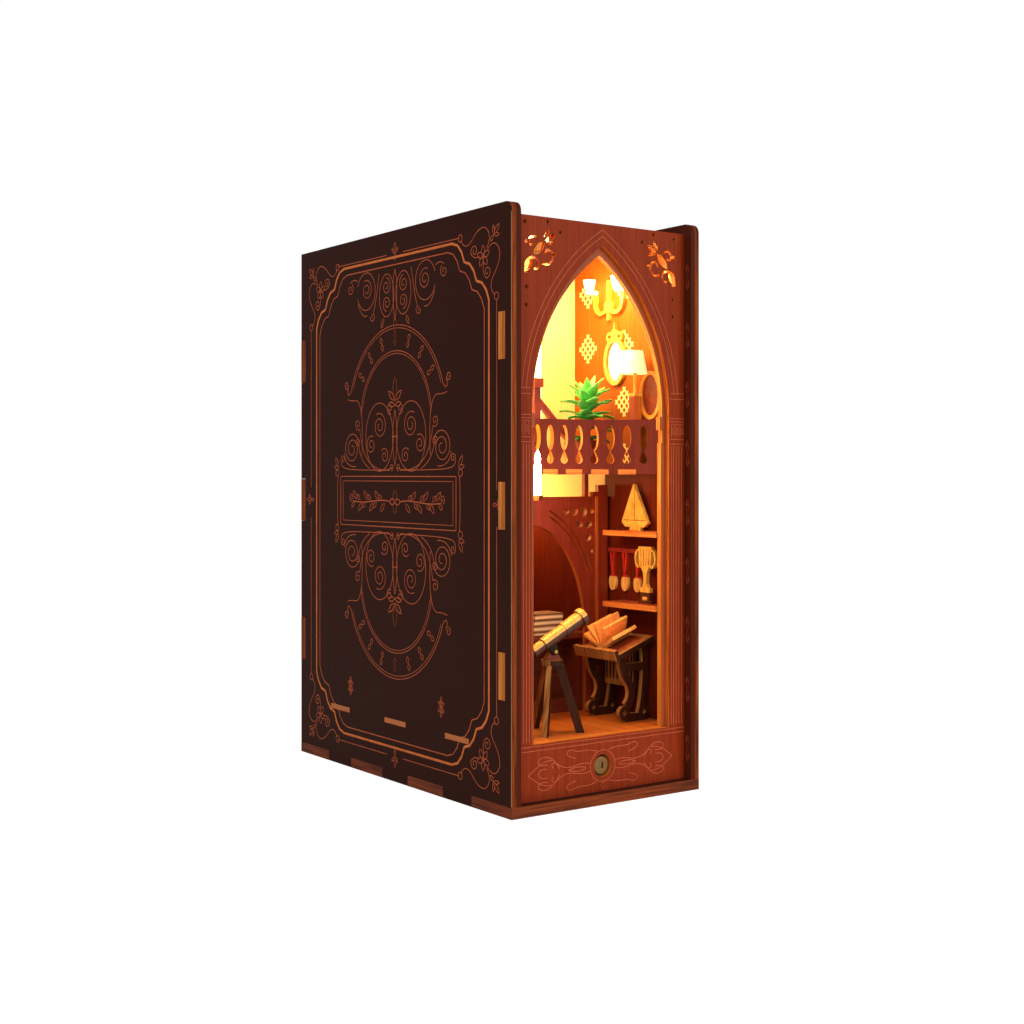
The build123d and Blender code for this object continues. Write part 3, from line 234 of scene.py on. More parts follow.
# Covers and base: birch plywood with a near-black brown print, its laser-cut edges burnt red-brown.
dark_print = ("#2a0d06", "#36140a", "#3c1407", "#a04c1e")
cover_ply = plywood("printed_birch_plywood_cover", "X", "Z", *dark_print, roughness=0.5, shine=0.08)
back_ply = plywood("printed_birch_plywood_back", "Y", "Z", *dark_print, roughness=0.5, shine=0.08)
base_ply = plywood(
    "printed_birch_plywood_base", "Z", "Y", "#2a0d06", "#36140a", "#3c1206", "#8e4018", shine=0.2
)
# Front frame: mahogany-red print with fine upright grain, its edges painted gold-brown as the room's light on
# them.
frame_ply = plywood(
    "mahogany_red_print_plywood", "Y", "Z", "#7a2409", "#903510", "#8c3a12", "#d07a2c", shine=0.15
)
# Backing board: honey stain, so that the arch has a second, paler rim.
backing_ply = plywood("honey_stained_plywood", "Y", "Z", "#8c3a12", "#a84e18", "#a85014", "#e29a34")
# Room boards: red-brown stain over birch, with warmer cut edges.
room_side_ply = plywood("stained_plywood_side", "X", "Z", "#6a200c", "#83341a", "#a85a22", "#d08a3c")
room_front_ply = plywood("stained_plywood_upright", "Y", "Z", "#741f0a", "#8c3212", "#6a200a", "#c06a28")
room_level_ply = plywood("stained_plywood_level", "Z", "Y", "#7a2a0e", "#93401a", "#a04a18", "#dc8e3a")
# Upper back wall: pale gold print with soft upright grain, bright round the lit doorway.
pale_wall_ply = plywood("gold_print_plywood", "Y", "Z", "#ecc884", "#fbe6b0", "#e0a850", "#f4cc80")
# Balustrade: one bent strip of dark red plywood, whose sawn edges are painted bright as the lamp's light on
# them.
rail_ply = plywood("bent_red_plywood", "BOW", "Z", "#4e1508", "#66200c", "#b8661c", "#eaa43c", shine=0.3)
# Dark legs and lectern: near-black stain with paler cut edges.
leg_ply = plywood("black_stained_plywood", "Y", "Z", "#2c1208", "#40200e", "#6a3818", "#c08a4a", shine=0.15)
# Desk: red stain painted darker as the doorway's shade, which keeps it back.
desk_ply = plywood("red_stained_plywood_painted_shade", "Z", "X", "#571c0c", "#752c12", "#5c1f0d", "#7f3415")
# Gold pieces: soft yellow mottling, and a deeper, older gold on the frames and the wall lamp.
gilt = stained("gold_print_on_plywood", "#c98a2c", "#f0c45c", roughness=0.42)
gilt_dark = stained("antique_gold_print", "#a8701f", "#e0a83e", roughness=0.4)


def split(name, axis, at, below, above, roughness=0.5, normal=False):
    """A printed piece that changes colour at one height or depth; at a slope, the upper colours are a painted
    highlight and the lower ones painted shade.
    """
    material, tree, shader, coordinates = blank(name)
    source = coordinates.outputs["Normal" if normal else "Object"]
    parts = add(tree, "SeparateXYZ", links={0: source})
    past = add(tree, "Math", {1: at}, {0: parts.outputs["XYZ".index(axis)]}, operation="GREATER_THAN")
    tone = streaks(tree, coordinates, (speck_size, speck_size, speck_size * 2))
    low, high = (between(tree, tone, *pair) for pair in (below, above))
    tree.links.new(between(tree, past.outputs[0], low, high), shader.inputs["Base Color"])
    shader.inputs["Roughness"].default_value = roughness
    return material


medal_low, medal_high = box_mm("medals")
disc_share = 0.36  # of a medal's height, below its ribbon
medal_drop = medal_low.z + disc_share * (medal_high.z - medal_low.z)
trophy_low, trophy_high = box_mm("trophy")
plinth_tall = 5.0
painted_highlight_slope = 0.25  # how far a surface looks up where the telescope's highlight starts
gold_tones = ("#c98a2c", "#f0c45c")
# Medals: gold discs under red ribbons.
medal_print = split("printed_medals", "Z", medal_drop * mm, ("#c98e34", "#ecc878"), ("#9c1c0c", "#c0301a"))
# Trophy: gold cup on a dark plinth.
plinth_top = (trophy_low.z + plinth_tall) * mm
trophy_print = split("printed_trophy", "Z", plinth_top, ("#3a1408", "#54200e"), gold_tones)
# Telescope: a painted highlight runs along the top of the tube, and its underside is painted nearly black as
# shade.
tube_painted_shade = ("#3c1a0a", "#5c2c10")
tube_painted_light_and_shade = split("telescope_painted_light_and_shade", "Z", painted_highlight_slope, tube_painted_shade, gold_tones, 0.35, normal=True)
# Paper and card: matte, with a fine mottle; the open book's pages are painted the lamp's orange light.
paper = stained("uncoated_book_paper", "#f0d9a0", "#fff0c8", roughness=0.85, speck=1.2)
paper_painted_lamplight = stained("book_paper_painted_lamplight", "#e8973c", "#ffc066", roughness=0.85, speck=1.2)
# Medal rail and plant pot: red and terracotta print on card.
red_card = stained("printed_red_card", "#6a1208", "#9c2412", roughness=0.7)
terracotta = stained("printed_terracotta_card", "#7a3a1c", "#a85a30", roughness=0.75)
# The light's works, behind the boards: satin black plastic, dark shrink wrap, green lacquer.
black_plastic = stained("moulded_black_abs", "#141414", "#1c1c1c", roughness=0.45, speck=0.8)
cell_wrap = stained("shrink_wrapped_cell", "#20242a", "#2c3138", roughness=0.3)
solder_mask = stained("green_solder_mask", "#0c4a24", "#14602f", roughness=0.35)
# Metals: a dull brass button, a nearly black saddle and a bright pin, all faintly brushed.
button_brass = metal("brushed_brass_button", "#7a6444", "#8a7250", 0.32)
dark_steel = metal("blackened_steel", "#2a211a", "#3c3026", 0.4)
brass = metal("polished_brass_pin", "#c89a4a", "#e2b862", 0.25)
# Mirror: silvered glass, which shows the lit room.
mirror_glass = metal("silvered_glass", "#e8e0d8", "#f4ece4", 0.06)
# Lamps: warm white light through frosted or paper skins.
lamp_glow = glowing("warm_led_light", "#ffd070", 9.0)
door_glow = glowing("lit_frosted_sheet", "#ffd27a", 3.2)
candle_glow = glowing("candle_flame_light", "#ffe08a", 26.0)
shade_glow = glowing("lit_paper_shade", "#ffe08a", 0.75)
# Lines burnt by the laser through the print, down to bright orange wood.
engraved = stained("laser_line_on_dark_print", "#a8441a", "#c25a22", roughness=0.6, speck=4)
engraved_thick = stained("laser_band_on_dark_print", "#c25a1a", "#dc7626", roughness=0.6, speck=4)
engraved_frame = stained("laser_line_on_red_print", "#bf5a38", "#d4724a", roughness=0.6, speck=4)
# The same laser lines on the recess wall, painted darker as shade.
engraved_painted_shade = stained("laser_line_painted_shade", "#7c2a14", "#94381c", roughness=0.6, speck=4)
# Dark printed lines on the gold pieces.
rigging = stained("printed_dark_line", "#5a2a10", "#6e3816", roughness=0.6, speck=4)
# The covers' front rims: a pale painted highlight along the front arris.
rim_highlight = stained("board_arris_painted_highlight", "#c8906a", "#e0b08a", roughness=0.5, speck=6)


def wallpaper(name, light, dark, motif, plain_low, plain_high):
    """A side wall: lattice paper above the balcony, stained wood below it with a pale band of painted light
    along its top behind the cross wall, dark outside the room.
    """
    material, tree, shader, coordinates = blank(name)
    parts = add(tree, "SeparateXYZ", links={0: coordinates.outputs["Object"]})

    def math_node(operation, first, second):
        node = add(tree, "Math", operation=operation)
        for index, value in enumerate((first, second)):
            if isinstance(value, (int, float)):
                node.inputs[index].default_value = value
            else:
                tree.links.new(value, node.inputs[index])
        return node.outputs[0]

    def repeat(socket, half_pitch, centre):
        """Distance from the nearest motif's centre, in millimetres."""
        moved = math_node("ADD", math_node("MULTIPLY", socket, 1 / mm), -centre)
        return math_node("ABSOLUTE", math_node("PINGPONG", moved, half_pitch), 0)

    # y and z: half a diamond, half the grid's pitch and the middle of one diamond
    half_wide, half_pitch_y, middle_y = 7.2, 13.3, -18.0
    half_tall, half_pitch_z, middle_z = 7.6, 12.95, 195.6
    bars = 4.0  # across a diamond each way, drawn coarser than the printed lattice
    bar_starts = 0.68  # from 0 midway between two bars to 1 on the middle of one
    across = math_node("DIVIDE", repeat(parts.outputs[1], half_pitch_y, middle_y), half_wide)
    upward = math_node("DIVIDE", repeat(parts.outputs[2], half_pitch_z, middle_z), half_tall)
    reach = math_node("ADD", across, upward)
    inside = math_node("LESS_THAN", reach, 1.0)
    lattice = math_node("PINGPONG", math_node("MULTIPLY", reach, bars), 1.0)
    other = math_node("ABSOLUTE", math_node("SUBTRACT", across, upward), 0)
    crossing = math_node("PINGPONG", math_node("MULTIPLY", other, bars), 1.0)
    drawn = math_node("GREATER_THAN", math_node("MAXIMUM", lattice, crossing), bar_starts)
    shown = math_node("MULTIPLY", inside, drawn)
    grain = streaks(tree, coordinates, (grain_width, grain_width, grain_length))
    papered = between(tree, shown, between(tree, grain, dark, light), motif)
    below = between(tree, grain, plain_low, plain_high)
    # A pale band on the side wall behind the cross wall, from just under its top up to the balcony: a painted
    # pool of light.
    painted_light_band = math_node("GREATER_THAN", parts.outputs[2], ledge_top * mm)
    behind = math_node("GREATER_THAN", parts.outputs[1], cross_wall_back * mm)
    below = between(tree, math_node("MULTIPLY", painted_light_band, behind), below, "#fbdc9a")
    upper = math_node("GREATER_THAN", parts.outputs[2], balcony_top * mm)
    past_frame = math_node("GREATER_THAN", parts.outputs[1], frame_front * mm)
    under_roof = math_node("LESS_THAN", parts.outputs[2], ceiling * mm)
    inside_room = math_node("MULTIPLY", past_frame, under_roof)
    room = between(tree, upper, below, papered)
    tree.links.new(between(tree, inside_room, "#4a1a0a", room), shader.inputs["Base Color"])
    shader.inputs["Roughness"].default_value = 0.6
    shader.inputs["Specular IOR Level"].default_value = 0.1
    return material


# Side walls: orange-brown paper with pale gold diamonds, over dark red stain.
wall_paper = wallpaper("papered_side_wall", "#9a5414", "#83400c", "#ffdc98", "#4c1408", "#64200c")


plank_width = 9.0
seam_share = 0.05  # of a plank's width


def planks(name):
    """The printed plank floor: boards that run from front to back, each in its own tone."""
    material, tree, shader, coordinates = blank(name)
    parts = add(tree, "SeparateXYZ", links={0: coordinates.outputs["Object"]})
    count = add(tree, "Math", {1: 1 / (plank_width * mm)}, {0: parts.outputs[0]}, operation="MULTIPLY")
    within = add(tree, "Math", {1: 1.0}, {0: count.outputs[0]}, operation="FLOORED_MODULO")
    seam = add(tree, "Math", {1: seam_share}, {0: within.outputs[0]}, operation="LESS_THAN")
    number = add(tree, "Math", links={0: count.outputs[0]}, operation="FLOOR")
    tone = add(tree, "TexWhiteNoise", links={"W": number.outputs[0]}, noise_dimensions="1D")
    grain = streaks(tree, coordinates, (grain_width, grain_length, grain_width))
    wood = between(tree, grain, "#a8521c", "#c8742c")
    board = between(tree, tone.outputs["Value"], wood, "#b8601f")
    tree.links.new(between(tree, seam.outputs[0], board, "#5a2208"), shader.inputs["Base Color"])
    shader.inputs["Roughness"].default_value = 0.42
    return material


plank_print = planks("printed_plank_floor")


wave_rate = 20  # radians per unit of Blender's wave texture at a scale of 1
page_line = 2.6  # drawn coarser than real pages, as the covers and page blocks of a stack of books


def page_edges(name):
    """The cut edges of bound pages, as level lines."""
    material, tree, shader, coordinates = blank(name)
    wave = add(
        tree,
        "TexWave",
        {"Scale": math.tau / (wave_rate * page_line * mm), "Distortion": 0.4},
        {"Vector": coordinates.outputs["Object"]},
        bands_direction="Z",
    )
    tree.links.new(between(tree, wave.outputs["Fac"], "#6a3c1a", "#ffe8b8"), shader.inputs["Base Color"])
    shader.inputs["Roughness"].default_value = 0.85
    return material


page_block = page_edges("bound_page_edges")


def leaf_green(name):
    """Moulded leaves: fresh green, darker at the roots and paler higher up."""
    material, tree, shader, coordinates = blank(name)
    parts = add(tree, "SeparateXYZ", links={0: coordinates.outputs["Object"]})
    roots, tips = balcony_top + 15, balcony_top + 42
    height = add(
        tree,
        "MapRange",
        {"From Min": roots * mm, "From Max": tips * mm},
        {"Value": parts.outputs[2]},
    )
    veins = streaks(tree, coordinates, (0.8, 0.8, 6))
    dark = between(tree, veins, "#127a30", "#22a24a")
    pale = between(tree, veins, "#3cc85c", "#8ce88a")
    tree.links.new(between(tree, height.outputs[0], dark, pale), shader.inputs["Base Color"])
    shader.inputs["Roughness"].default_value = 0.4
    return material


leaf_plastic = leaf_green("moulded_green_leaves")


def painted_oval(name):
    """A plain dark study in warm browns, of nothing in particular."""
    material, tree, shader, coordinates = blank(name)
    blots = streaks(tree, coordinates, (3.2, 3.2, 4.2))
    fine = streaks(tree, coordinates, (1.1, 1.1, 1.6))
    ground = between(tree, blots, "#3a0c04", "#8c2c0c")
    tree.links.new(between(tree, fine, ground, "#6a2208"), shader.inputs["Base Color"])
    shader.inputs["Roughness"].default_value = 0.5
    return material


oval_study = painted_oval("varnished_picture_card")

finishes = {
    cover_ply: ("left_cover", "right_cover"),
    back_ply: ("back_outer", "back_inner"),
    base_ply: ("base_lower", "base_upper", "roof_board", "tray_runners"),
    frame_ply: ("front_frame",),
    backing_ply: ("front_frame_backing",),
    wall_paper: ("right_liner", "left_liner"),
    plank_print: ("floor_board",),
    room_level_ply: ("balcony_floor", "shelves", "book_cover"),
    rail_ply: ("balustrade",),
    room_front_ply: ("cross_wall", "wall_post", "newel_and_handrail", "telescope_bracket"),
    room_side_ply: ("lamp_pedestal",),
    pale_wall_ply: ("upper_back_wall",),
    leg_ply: ("lectern_legs", "lectern_top", "lectern_back", "tripod_legs", "tripod_plate", "candle_bracket"),
    desk_ply: ("desk",),
    gilt: ("sailboat", "lamp_stand"),
    medal_print: ("medals",),
    trophy_print: ("trophy",),
    tube_painted_light_and_shade: ("telescope_tube",),
    gilt_dark: ("mirror_frame", "picture_frame", "wall_lamp"),
    dark_steel: ("telescope_saddle",),
    paper_painted_lamplight: ("book_leaves",),
    page_block: ("book_stack",),
    paper: ("vase",),
    red_card: ("medal_rail",),
    oval_study: ("picture_card",),
    terracotta: ("plant_pot",),
    leaf_plastic: ("plant_leaves",),
    mirror_glass: ("mirror_glass",),
    shade_glow: ("lamp_shade",),
    lamp_glow: ("wall_lamp_cups", "light_strip"),
    door_glow: ("door_diffuser",),
    candle_glow: ("candle_lamp",),
    brass: ("pivot_pin", "switch_spring", "battery_contacts"),
    button_brass: ("button_cap",),
    black_plastic: ("switch_body", "battery_tray"),
    cell_wrap: ("cells",),
    solder_mask: ("circuit_board",),
}

for finish, names in finishes.items():
    for name in names:
        node = nodes[name]
        if node.material_slots:
            for material_slot in node.material_slots:
                material_slot.material = finish
        else:
            node.data.materials.append(finish)


# Pieces


def piece(name, mesh, finish, body="case"):
    """Hangs a finished mesh on its body, with its finish."""
    item = bpy.data.objects.new(name, mesh)
    scene.collection.objects.link(item)
    mesh.materials.clear()
    mesh.materials.append(finish)
    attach(item, body)
    return item


def built(name, bm, finish, body="case"):
    """A piece from a bmesh in millimetres, with its faces turned outwards."""
    bmesh.ops.remove_doubles(bm, verts=bm.verts, dist=0.001)
    bmesh.ops.recalc_face_normals(bm, faces=bm.faces)
    bmesh.ops.scale(bm, vec=(mm, mm, mm), verts=bm.verts)
    mesh = bpy.data.meshes.new(name)
    bm.to_mesh(mesh)
    bm.free()
    return piece(name, mesh, finish, body)


def inset_cover(name, outer_x):
    """A copy of a cover whose outer face lies a line's depth in, so that the engraving is flush."""
    bm = bmesh.new()
    bm.from_mesh(nodes[name].data)
    bmesh.ops.remove_doubles(bm, verts=bm.verts, dist=0.001 * mm)
    inward = -math.copysign(line_depth + cover_gap, outer_x)
    tolerance = 0.01
    outer = [v for v in bm.verts if abs(v.co.x - outer_x * mm) < tolerance * mm]
    bmesh.ops.translate(bm, vec=(inward * mm, 0, 0), verts=outer)
    mesh = bpy.data.meshes.new(name + "_board")
    bm.to_mesh(mesh)
    bm.free()
    board = piece(name + "_board", mesh, cover_ply)
    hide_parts(name)


def strokes_mesh(name, strokes, place, finish, axis):
    """Engraved lines as ribbons that lie flat across one axis.

    Each stroke is (points, width, smooth, closed); place turns its (u, v) points to (x, y, z).
    """
    data = bpy.data.curves.new(name, "CURVE")
    data.dimensions = "3D"
    data.bevel_depth = 0.5 * mm  # so that a point's radius is the line's width in millimetres
    data.bevel_resolution = 1
    data.use_fill_caps = True
    data.resolution_u = 4
    for points, width, smooth, closed in strokes:
        spline = data.splines.new("NURBS" if smooth else "POLY")
        spline.points.add(len(points) - 1)
        for point, (u, v) in zip(spline.points, points):
            point.co = tuple(c * mm for c in place(u, v)) + (1.0,)
            point.radius = width
        spline.use_cyclic_u = closed
        if smooth:
            spline.order_u = 4
            spline.use_endpoint_u = not closed
    drawn = bpy.data.objects.new(name + "_drawn", data)
    scene.collection.objects.link(drawn)
    bpy.context.view_layer.update()
    mesh = bpy.data.meshes.new_from_object(drawn.evaluated_get(bpy.context.evaluated_depsgraph_get()))
    bpy.data.objects.remove(drawn)
    level = place(0, 0)[axis] * mm
    thickest = max(width for _, width, _, _ in strokes)
    flatten = line_depth / thickest
    for vertex in mesh.vertices:
        vertex.co[axis] = level + (vertex.co[axis] - level) * flatten
    return piece(name, mesh, finish)


def arc(u, v, radius, start, end, tall=1.0):
    """An arc between two angles in degrees; tall stretches it upright."""
    degrees_apart = 3 if radius > 10 else 15
    steps = max(4, int(abs(end - start) / degrees_apart))
    angles = [math.radians(start + (end - start) * i / steps) for i in range(steps + 1)]
    return [(u + radius * math.cos(a), v + radius * tall * math.sin(a)) for a in angles]


def volute(u, v, radius, start, turns, inner=0.18):
    """A spiral that winds in from its radius, clockwise where turns is negative."""
    steps = max(8, int(abs(turns) * 20))
    points = []
    for i in range(steps + 1):
        share = i / steps
        r = radius * (1 - share * (1 - inner))
        a = math.radians(start + 360 * turns * share)
        points.append((u + r * math.cos(a), v + r * math.sin(a)))
    return points


def petal(u, v, length, width, turn):
    """A closed pointed petal from its stalk along turn degrees."""
    a = math.radians(turn)
    along = Vector((math.cos(a), math.sin(a)))
    aside = Vector((-along.y, along.x))
    start = Vector((u, v))
    shape = ((0, 0), (0.45, 0.5), (0.8, 0.32), (1, 0), (0.8, -0.32), (0.45, -0.5))
    return [tuple(start + along * length * p + aside * width * q) for p, q in shape]


def fleur(u, v, size, turn, line):
    """Three petals over a small cross band."""
    drawn = [(petal(u, v, size, size * 0.36, turn), line, False, True)]
    for side in (-1, 1):
        drawn.append((petal(u, v, size * 0.72, size * 0.26, turn + side * 48), line, False, True))
    drawn.append((petal(u, v, size * 0.6, size * 0.3, turn + 180), line, False, True))
    return drawn


def mirrored(strokes, axis=0, about=0.0):
    """The strokes with their mirror image across u or v."""
    copies = []
    for points, width, smooth, closed in strokes:
        if axis == 0:
            flipped = [(2 * about - u, v) for u, v in points]
        else:
            flipped = [(u, 2 * about - v) for u, v in points]
        copies.append((flipped, width, smooth, closed))
    return strokes + copies


cover_half = (cover_high.y - cover_low.y) / 2
border_half = 73.6
border_top = cover_high.z - 12.0
border_low = 15.0
corner_wide = 27.0
corner_tall = 26.0
border_gap = 3.3  # between the border's thick line and its thin one
outline_in = 10.4  # the outermost thin line, in from the cover's edges
spray_wide = 37.5  # a corner's spray takes this much of that line along the top
spray_tall = 38.5  # and this much of it down the side
flip_height = (cover_high.z + 0.8) / 2  # the lower sprays mirror the upper ones about this height
band_rise = 36.5  # centre of the round bands, over the ornament's middle


def stepped_corner(u, v, wide, tall):
    """Three scallops between a border's side, at (u, v - tall), and its top, at (u - wide, v)."""
    points = []
    steps = 3
    diagonal = 0.7  # a scallop bulges out at 45 degrees
    for i in range(steps):
        for share, bulge in ((0.0, 0.0), (0.35, 1.7), (0.7, 1.9), (0.92, 0.4)):
            s = (i + share) / steps
            out = diagonal * bulge
            points.append((u - wide * s + out, v - tall * (1 - s) + out))
    points.append((u - wide, v))
    return points


def border(inset, line):
    """The closed border with its stepped corners."""
    half = border_half - inset
    top = border_top - inset
    low = border_low + inset
    quarter = stepped_corner(half, top, corner_wide, corner_tall)
    upper = quarter + [(-u, v) for u, v in reversed(quarter)]
    middle = (top + low) / 2
    lower = [(u, 2 * middle - v) for u, v in reversed(upper)]
    return (upper + lower, line, False, True)


def corner_spray(line):
    """The ornament in the upper corner on the positive side: waves, a flower, curls and a fleur."""
    cu = cover_half
    cv = cover_high.z
    drawn = []

    def inward(points, swap):
        return [(cu - (b if swap else a), cv - (a if swap else b)) for a, b in points]

    for swap in (False, True):
        outer_wave = ((36.5, 11.5), (34.5, 14.8), (30, 14.6), (26.5, 10.5))
        inner_wave = ((21, 7.6), (16.5, 9.0), (14.5, 13.5), (17.5, 17))
        drawn.append((inward(outer_wave + inner_wave, swap), line, True, False))
        centre = inward(((37.0, 10.6),), swap)[0]
        drawn.append((arc(*centre, 1.5, 0, 360), line, False, False))
        curl = inward(((26.5, 17.2),), swap)[0]
        start, turns = (250, 1.3) if swap else (200, -1.3)
        drawn.append((volute(*curl, 2.6, start, turns), line, False, False))
        stem = ((22.8, 19.5), (24.6, 20.6), (27.5, 20.0), (29.2, 17.6))
        drawn.append((inward(stem, swap), line, True, False))
    middle = (cu - 20.0, cv - 20.0)
    for i in range(5):
        drawn.append((petal(*middle, 4.6, 2.6, 20 + 72 * i), line, False, True))
    drawn.append((arc(*middle, 0.9, 0, 360), line, False, False))
    drawn += fleur(cu - 12.6, cv - 12.2, 5.6, 45, line)
    return drawn


def garland(line):
    """The scrolls that hang under the top border, right half."""
    top = border_top - border_gap
    return [
        (arc(7.2, top - 13, 6.4, 0, 360, 1.5), line, False, False),
        (volute(7.4, top - 9.0, 3.9, 90, 1.6), line, False, False),
        (volute(7.0, top - 16.6, 3.6, 270, 1.6), line, False, False),
        (arc(25.5, top - 9.5, 8.2, 20, 340, 1.05), line, False, False),
        (volute(25.0, top - 9.0, 4.8, 60, 1.8), line, False, False),
        (volute(19.5, top - 21.5, 2.3, 0, -1.3), line, False, False),
        ([(13.8, top - 2.6), (15.2, top - 8), (16.4, top - 15), (19.0, top - 20)], line, True, False),
        ([(33.0, top - 14.5), (30.5, top - 19.5), (27.5, top - 21.5), (24.5, top - 20.6)], line, True, False),
        (volute(40.2, top - 7.2, 2.9, 120, 1.3), line, False, False),
        ([(33.6, top - 4.0), (36, top - 2.6), (38.5, top - 3.0), (40.2, top - 4.3)], line, True, False),
        ([(0.0, top - 2.0), (2.6, top - 7.0), (2.0, top - 18.0), (0.0, top - 25.0)], line, True, False),
        (petal(0.0, top - 22.0, 8.0, 2.4, 270), line, False, True),
        (petal(9.5, top - 23.0, 5.0, 1.8, 300), line, False, True),
    ]


def panel_frame(line):
    """Right half of the upper half of the centre panel's frame."""
    m = cover_middle
    bracket = [(4.4, m + 14.0), (20, m + 14.2), (46, m + 14.0), (49.5, m + 16.0), (49.0, m + 19.0)]
    return [
        ([(0, m + 11.3), (49.5, m + 11.3), (49.5, m)], middle_line, False, False),
        ([(0, m + 9.2), (47.2, m + 9.2), (47.2, m)], line, False, False),
        (bracket, line, True, False),
        (volute(3.0, m + 15.4, 1.7, 270, -1.2), line, False, False),
        (volute(47.2, m + 19.2, 2.0, 0, 1.3), line, False, False),
        ([(52.6, m), (52.6, m + 8.5), (52.0, m + 11.5)], line, True, False),
        (arc(52.8, m + 12.9, 1.5, 0, 360), line, False, False),
        (petal(51.4, m + 15.0, 6.0, 2.2, 60), line, False, True),
        (petal(51.4, m + 15.0, 4.4, 1.8, 10), line, False, True),
    ]


def arch_band(line):
    """Right half of the round band over the centre panel and its scrolled end."""
    m = cover_middle + band_rise
    scroll = [(42.8, m + 10.6), (38.2, m + 9.4), (34.6, m + 10.8), (31.0, m + 8.4), (29.6, m + 2.0)]
    drawn = [
        (arc(0, m, 42.0, 20, 90), line, False, False),
        (arc(0, m, 40.7, 21, 90), hair_line, False, False),
        (arc(0, m, 30.6, 12, 90), line, False, False),
        (arc(0, m, 29.4, 10, 90), hair_line, False, False),
        ([(39.4, m + 14.4), (42.6, m + 10.5), (43.4, m + 14.0), (42.0, m + 17.0)], line, True, False),
        (volute(43.6, m + 17.4, 2.1, 220, 1.2), line, False, False),
        (scroll, line, True, False),
        ([(30.0, m + 6.4), (29.0, m - 2.0), (28.6, m - 9.0), (29.6, m - 16.0)], line, True, False),
    ]
    leaf_radius, leaf_step = 36.0, 18.5
    for i in range(4):
        a = math.radians(90 - leaf_step * i)
        u, v = leaf_radius * math.cos(a), m + leaf_radius * math.sin(a)
        drawn.append((petal(u, v, 3.2, 2.0, math.degrees(a)), line, False, True))
        drawn.append((petal(u, v, 3.2, 2.0, math.degrees(a) + 180), line, False, True))
    return drawn


def loops(line):
    """Right half of the great loops and spirals between the centre panel and the band."""
    m = cover_middle
    sweep = [(1.5, m + 15.2), (8.0, m + 13.4), (20.0, m + 14.6), (29.4, m + 22.0), (31.4, m + 33.0)]
    return [
        (arc(13.6, m + 29.0, 12.2, 0, 360, 1.26), line, False, False),
        (volute(13.4, m + 34.0, 6.0, 60, 2.0), line, False, False),
        (volute(21.0, m + 25.5, 4.4, 120, -1.7), line, False, False),
        (volute(9.0, m + 20.5, 3.6, 40, 1.5), line, False, False),
        (sweep, line, True, False),
        (volute(33.2, m + 35.2, 2.7, 230, 1.4), line, False, False),
        ([(22.0, m + 14.8), (28.0, m + 17.0), (33.0, m + 21.5), (32.5, m + 28.0)], line, True, False),
        (volute(38.6, m + 24.0, 7.4, 150, -2.2), line, False, False),
        ([(46.0, m + 22.0), (45.2, m + 17.6), (41.0, m + 15.4), (35.0, m + 15.8)], line, True, False),
        (volute(33.0, m + 26.6, 2.2, 0, 1.3), line, False, False),
        ([(0, m + 16.0), (2.6, m + 24.0), (2.4, m + 33.0), (0, m + 41.0)], line, True, False),
        ([(0, m + 29.0), (2.5, m + 29.0)], line, False, False),
        (volute(4.6, m + 41.5, 2.6, 240, 1.4), line, False, False),
        (petal(0, m + 46.0, 9.5, 3.4, 90), middle_line, False, True),
        (petal(0, m + 45.0, 7.0, 2.6, 38), middle_line, False, True),
        (petal(0, m + 43.0, 5.4, 2.2, 8), middle_line, False, True),
    ]


def panel_sprig(line):
    """Right half of the leafy sprig that fills the centre panel."""
    m = cover_middle
    drawn = [
        ([(4, m), (14, m + 1.8), (26, m - 1.8), (38, m)], middle_line, True, False),
        (petal(0, m, 5.2, 3.4, 90), middle_line, False, True),
        (petal(0, m, 5.2, 3.4, 270), middle_line, False, True),
        (petal(0, m, 4.6, 2.8, 0), middle_line, False, True),
        (volute(39.0, m + 1.6, 2.0, 270, 1.3), line, False, False),
    ]
    for i, u in enumerate((9, 14, 19, 24, 29, 34)):
        side = 1 if i % 2 else -1
        drawn.append((petal(u, m + side * 0.6, 5.4, 2.2, side * 48), line, False, True))
        drawn.append((petal(u + 2.0, m - side * 0.4, 4.0, 1.8, -side * 40), line, False, True))
    return drawn


def engrave_cover(name, x):
    """The laser engraving on one cover."""

    def place(u, v):
        return (x, u, v)

    thin = thin_line
    edge = cover_half - outline_in
    top = cover_high.z - outline_in
    quarter = corner_spray(thin)
    quarter.append(([(7, top), (cover_half - spray_wide, top)], thin, False, False))
    quarter.append(([(edge, cover_middle + 6), (edge, cover_high.z - spray_tall)], thin, False, False))
    four = mirrored(mirrored(quarter), 1, flip_height)
    centre = mirrored(arch_band(thin) + loops(thin) + panel_frame(thin))
    centre = mirrored(centre, 1, cover_middle)
    extras = mirrored(garland(thin) + panel_sprig(thin))
    for turn, v in ((90, top), (270, 11.2)):
        extras += fleur(0, v, 5.0, turn, thin)
    for u in (-edge, edge):
        extras += fleur(u, cover_middle, 4.6, 0 if u > 0 else 180, thin)
    for u in (-38.0, 40.0):
        extras += fleur(u, 38.0, 4.4, 90, thin) + fleur(u, 38.0, 4.4, 270, thin)
    lines = four + centre + extras + [border(border_gap, middle_line)]
    strokes_mesh(name + "_lines", lines, place, engraved, 0)
    strokes_mesh(name + "_border", [border(0.0, thick_line)], place, engraved_thick, 0)
    # A pale line down the cover's front edge: a painted highlight.
    front = cover_low.y + rim_in
    arris = [([(front, 5), (front, cover_high.z - 4.5)], rim_line, False, False)]
    strokes_mesh(name + "_arris", arris, place, rim_highlight, 0)


for cover_name, outer in (("left_cover", cover_low.x), ("right_cover", right_outer)):
    inset_cover(cover_name, outer)
    engrave_cover(cover_name, outer - math.copysign(line_depth / 2, outer))


# Front frame


def frame_place(u, v):
    """A point just in front of the frame's face."""
    return (u, frame_front - line_gap, v)


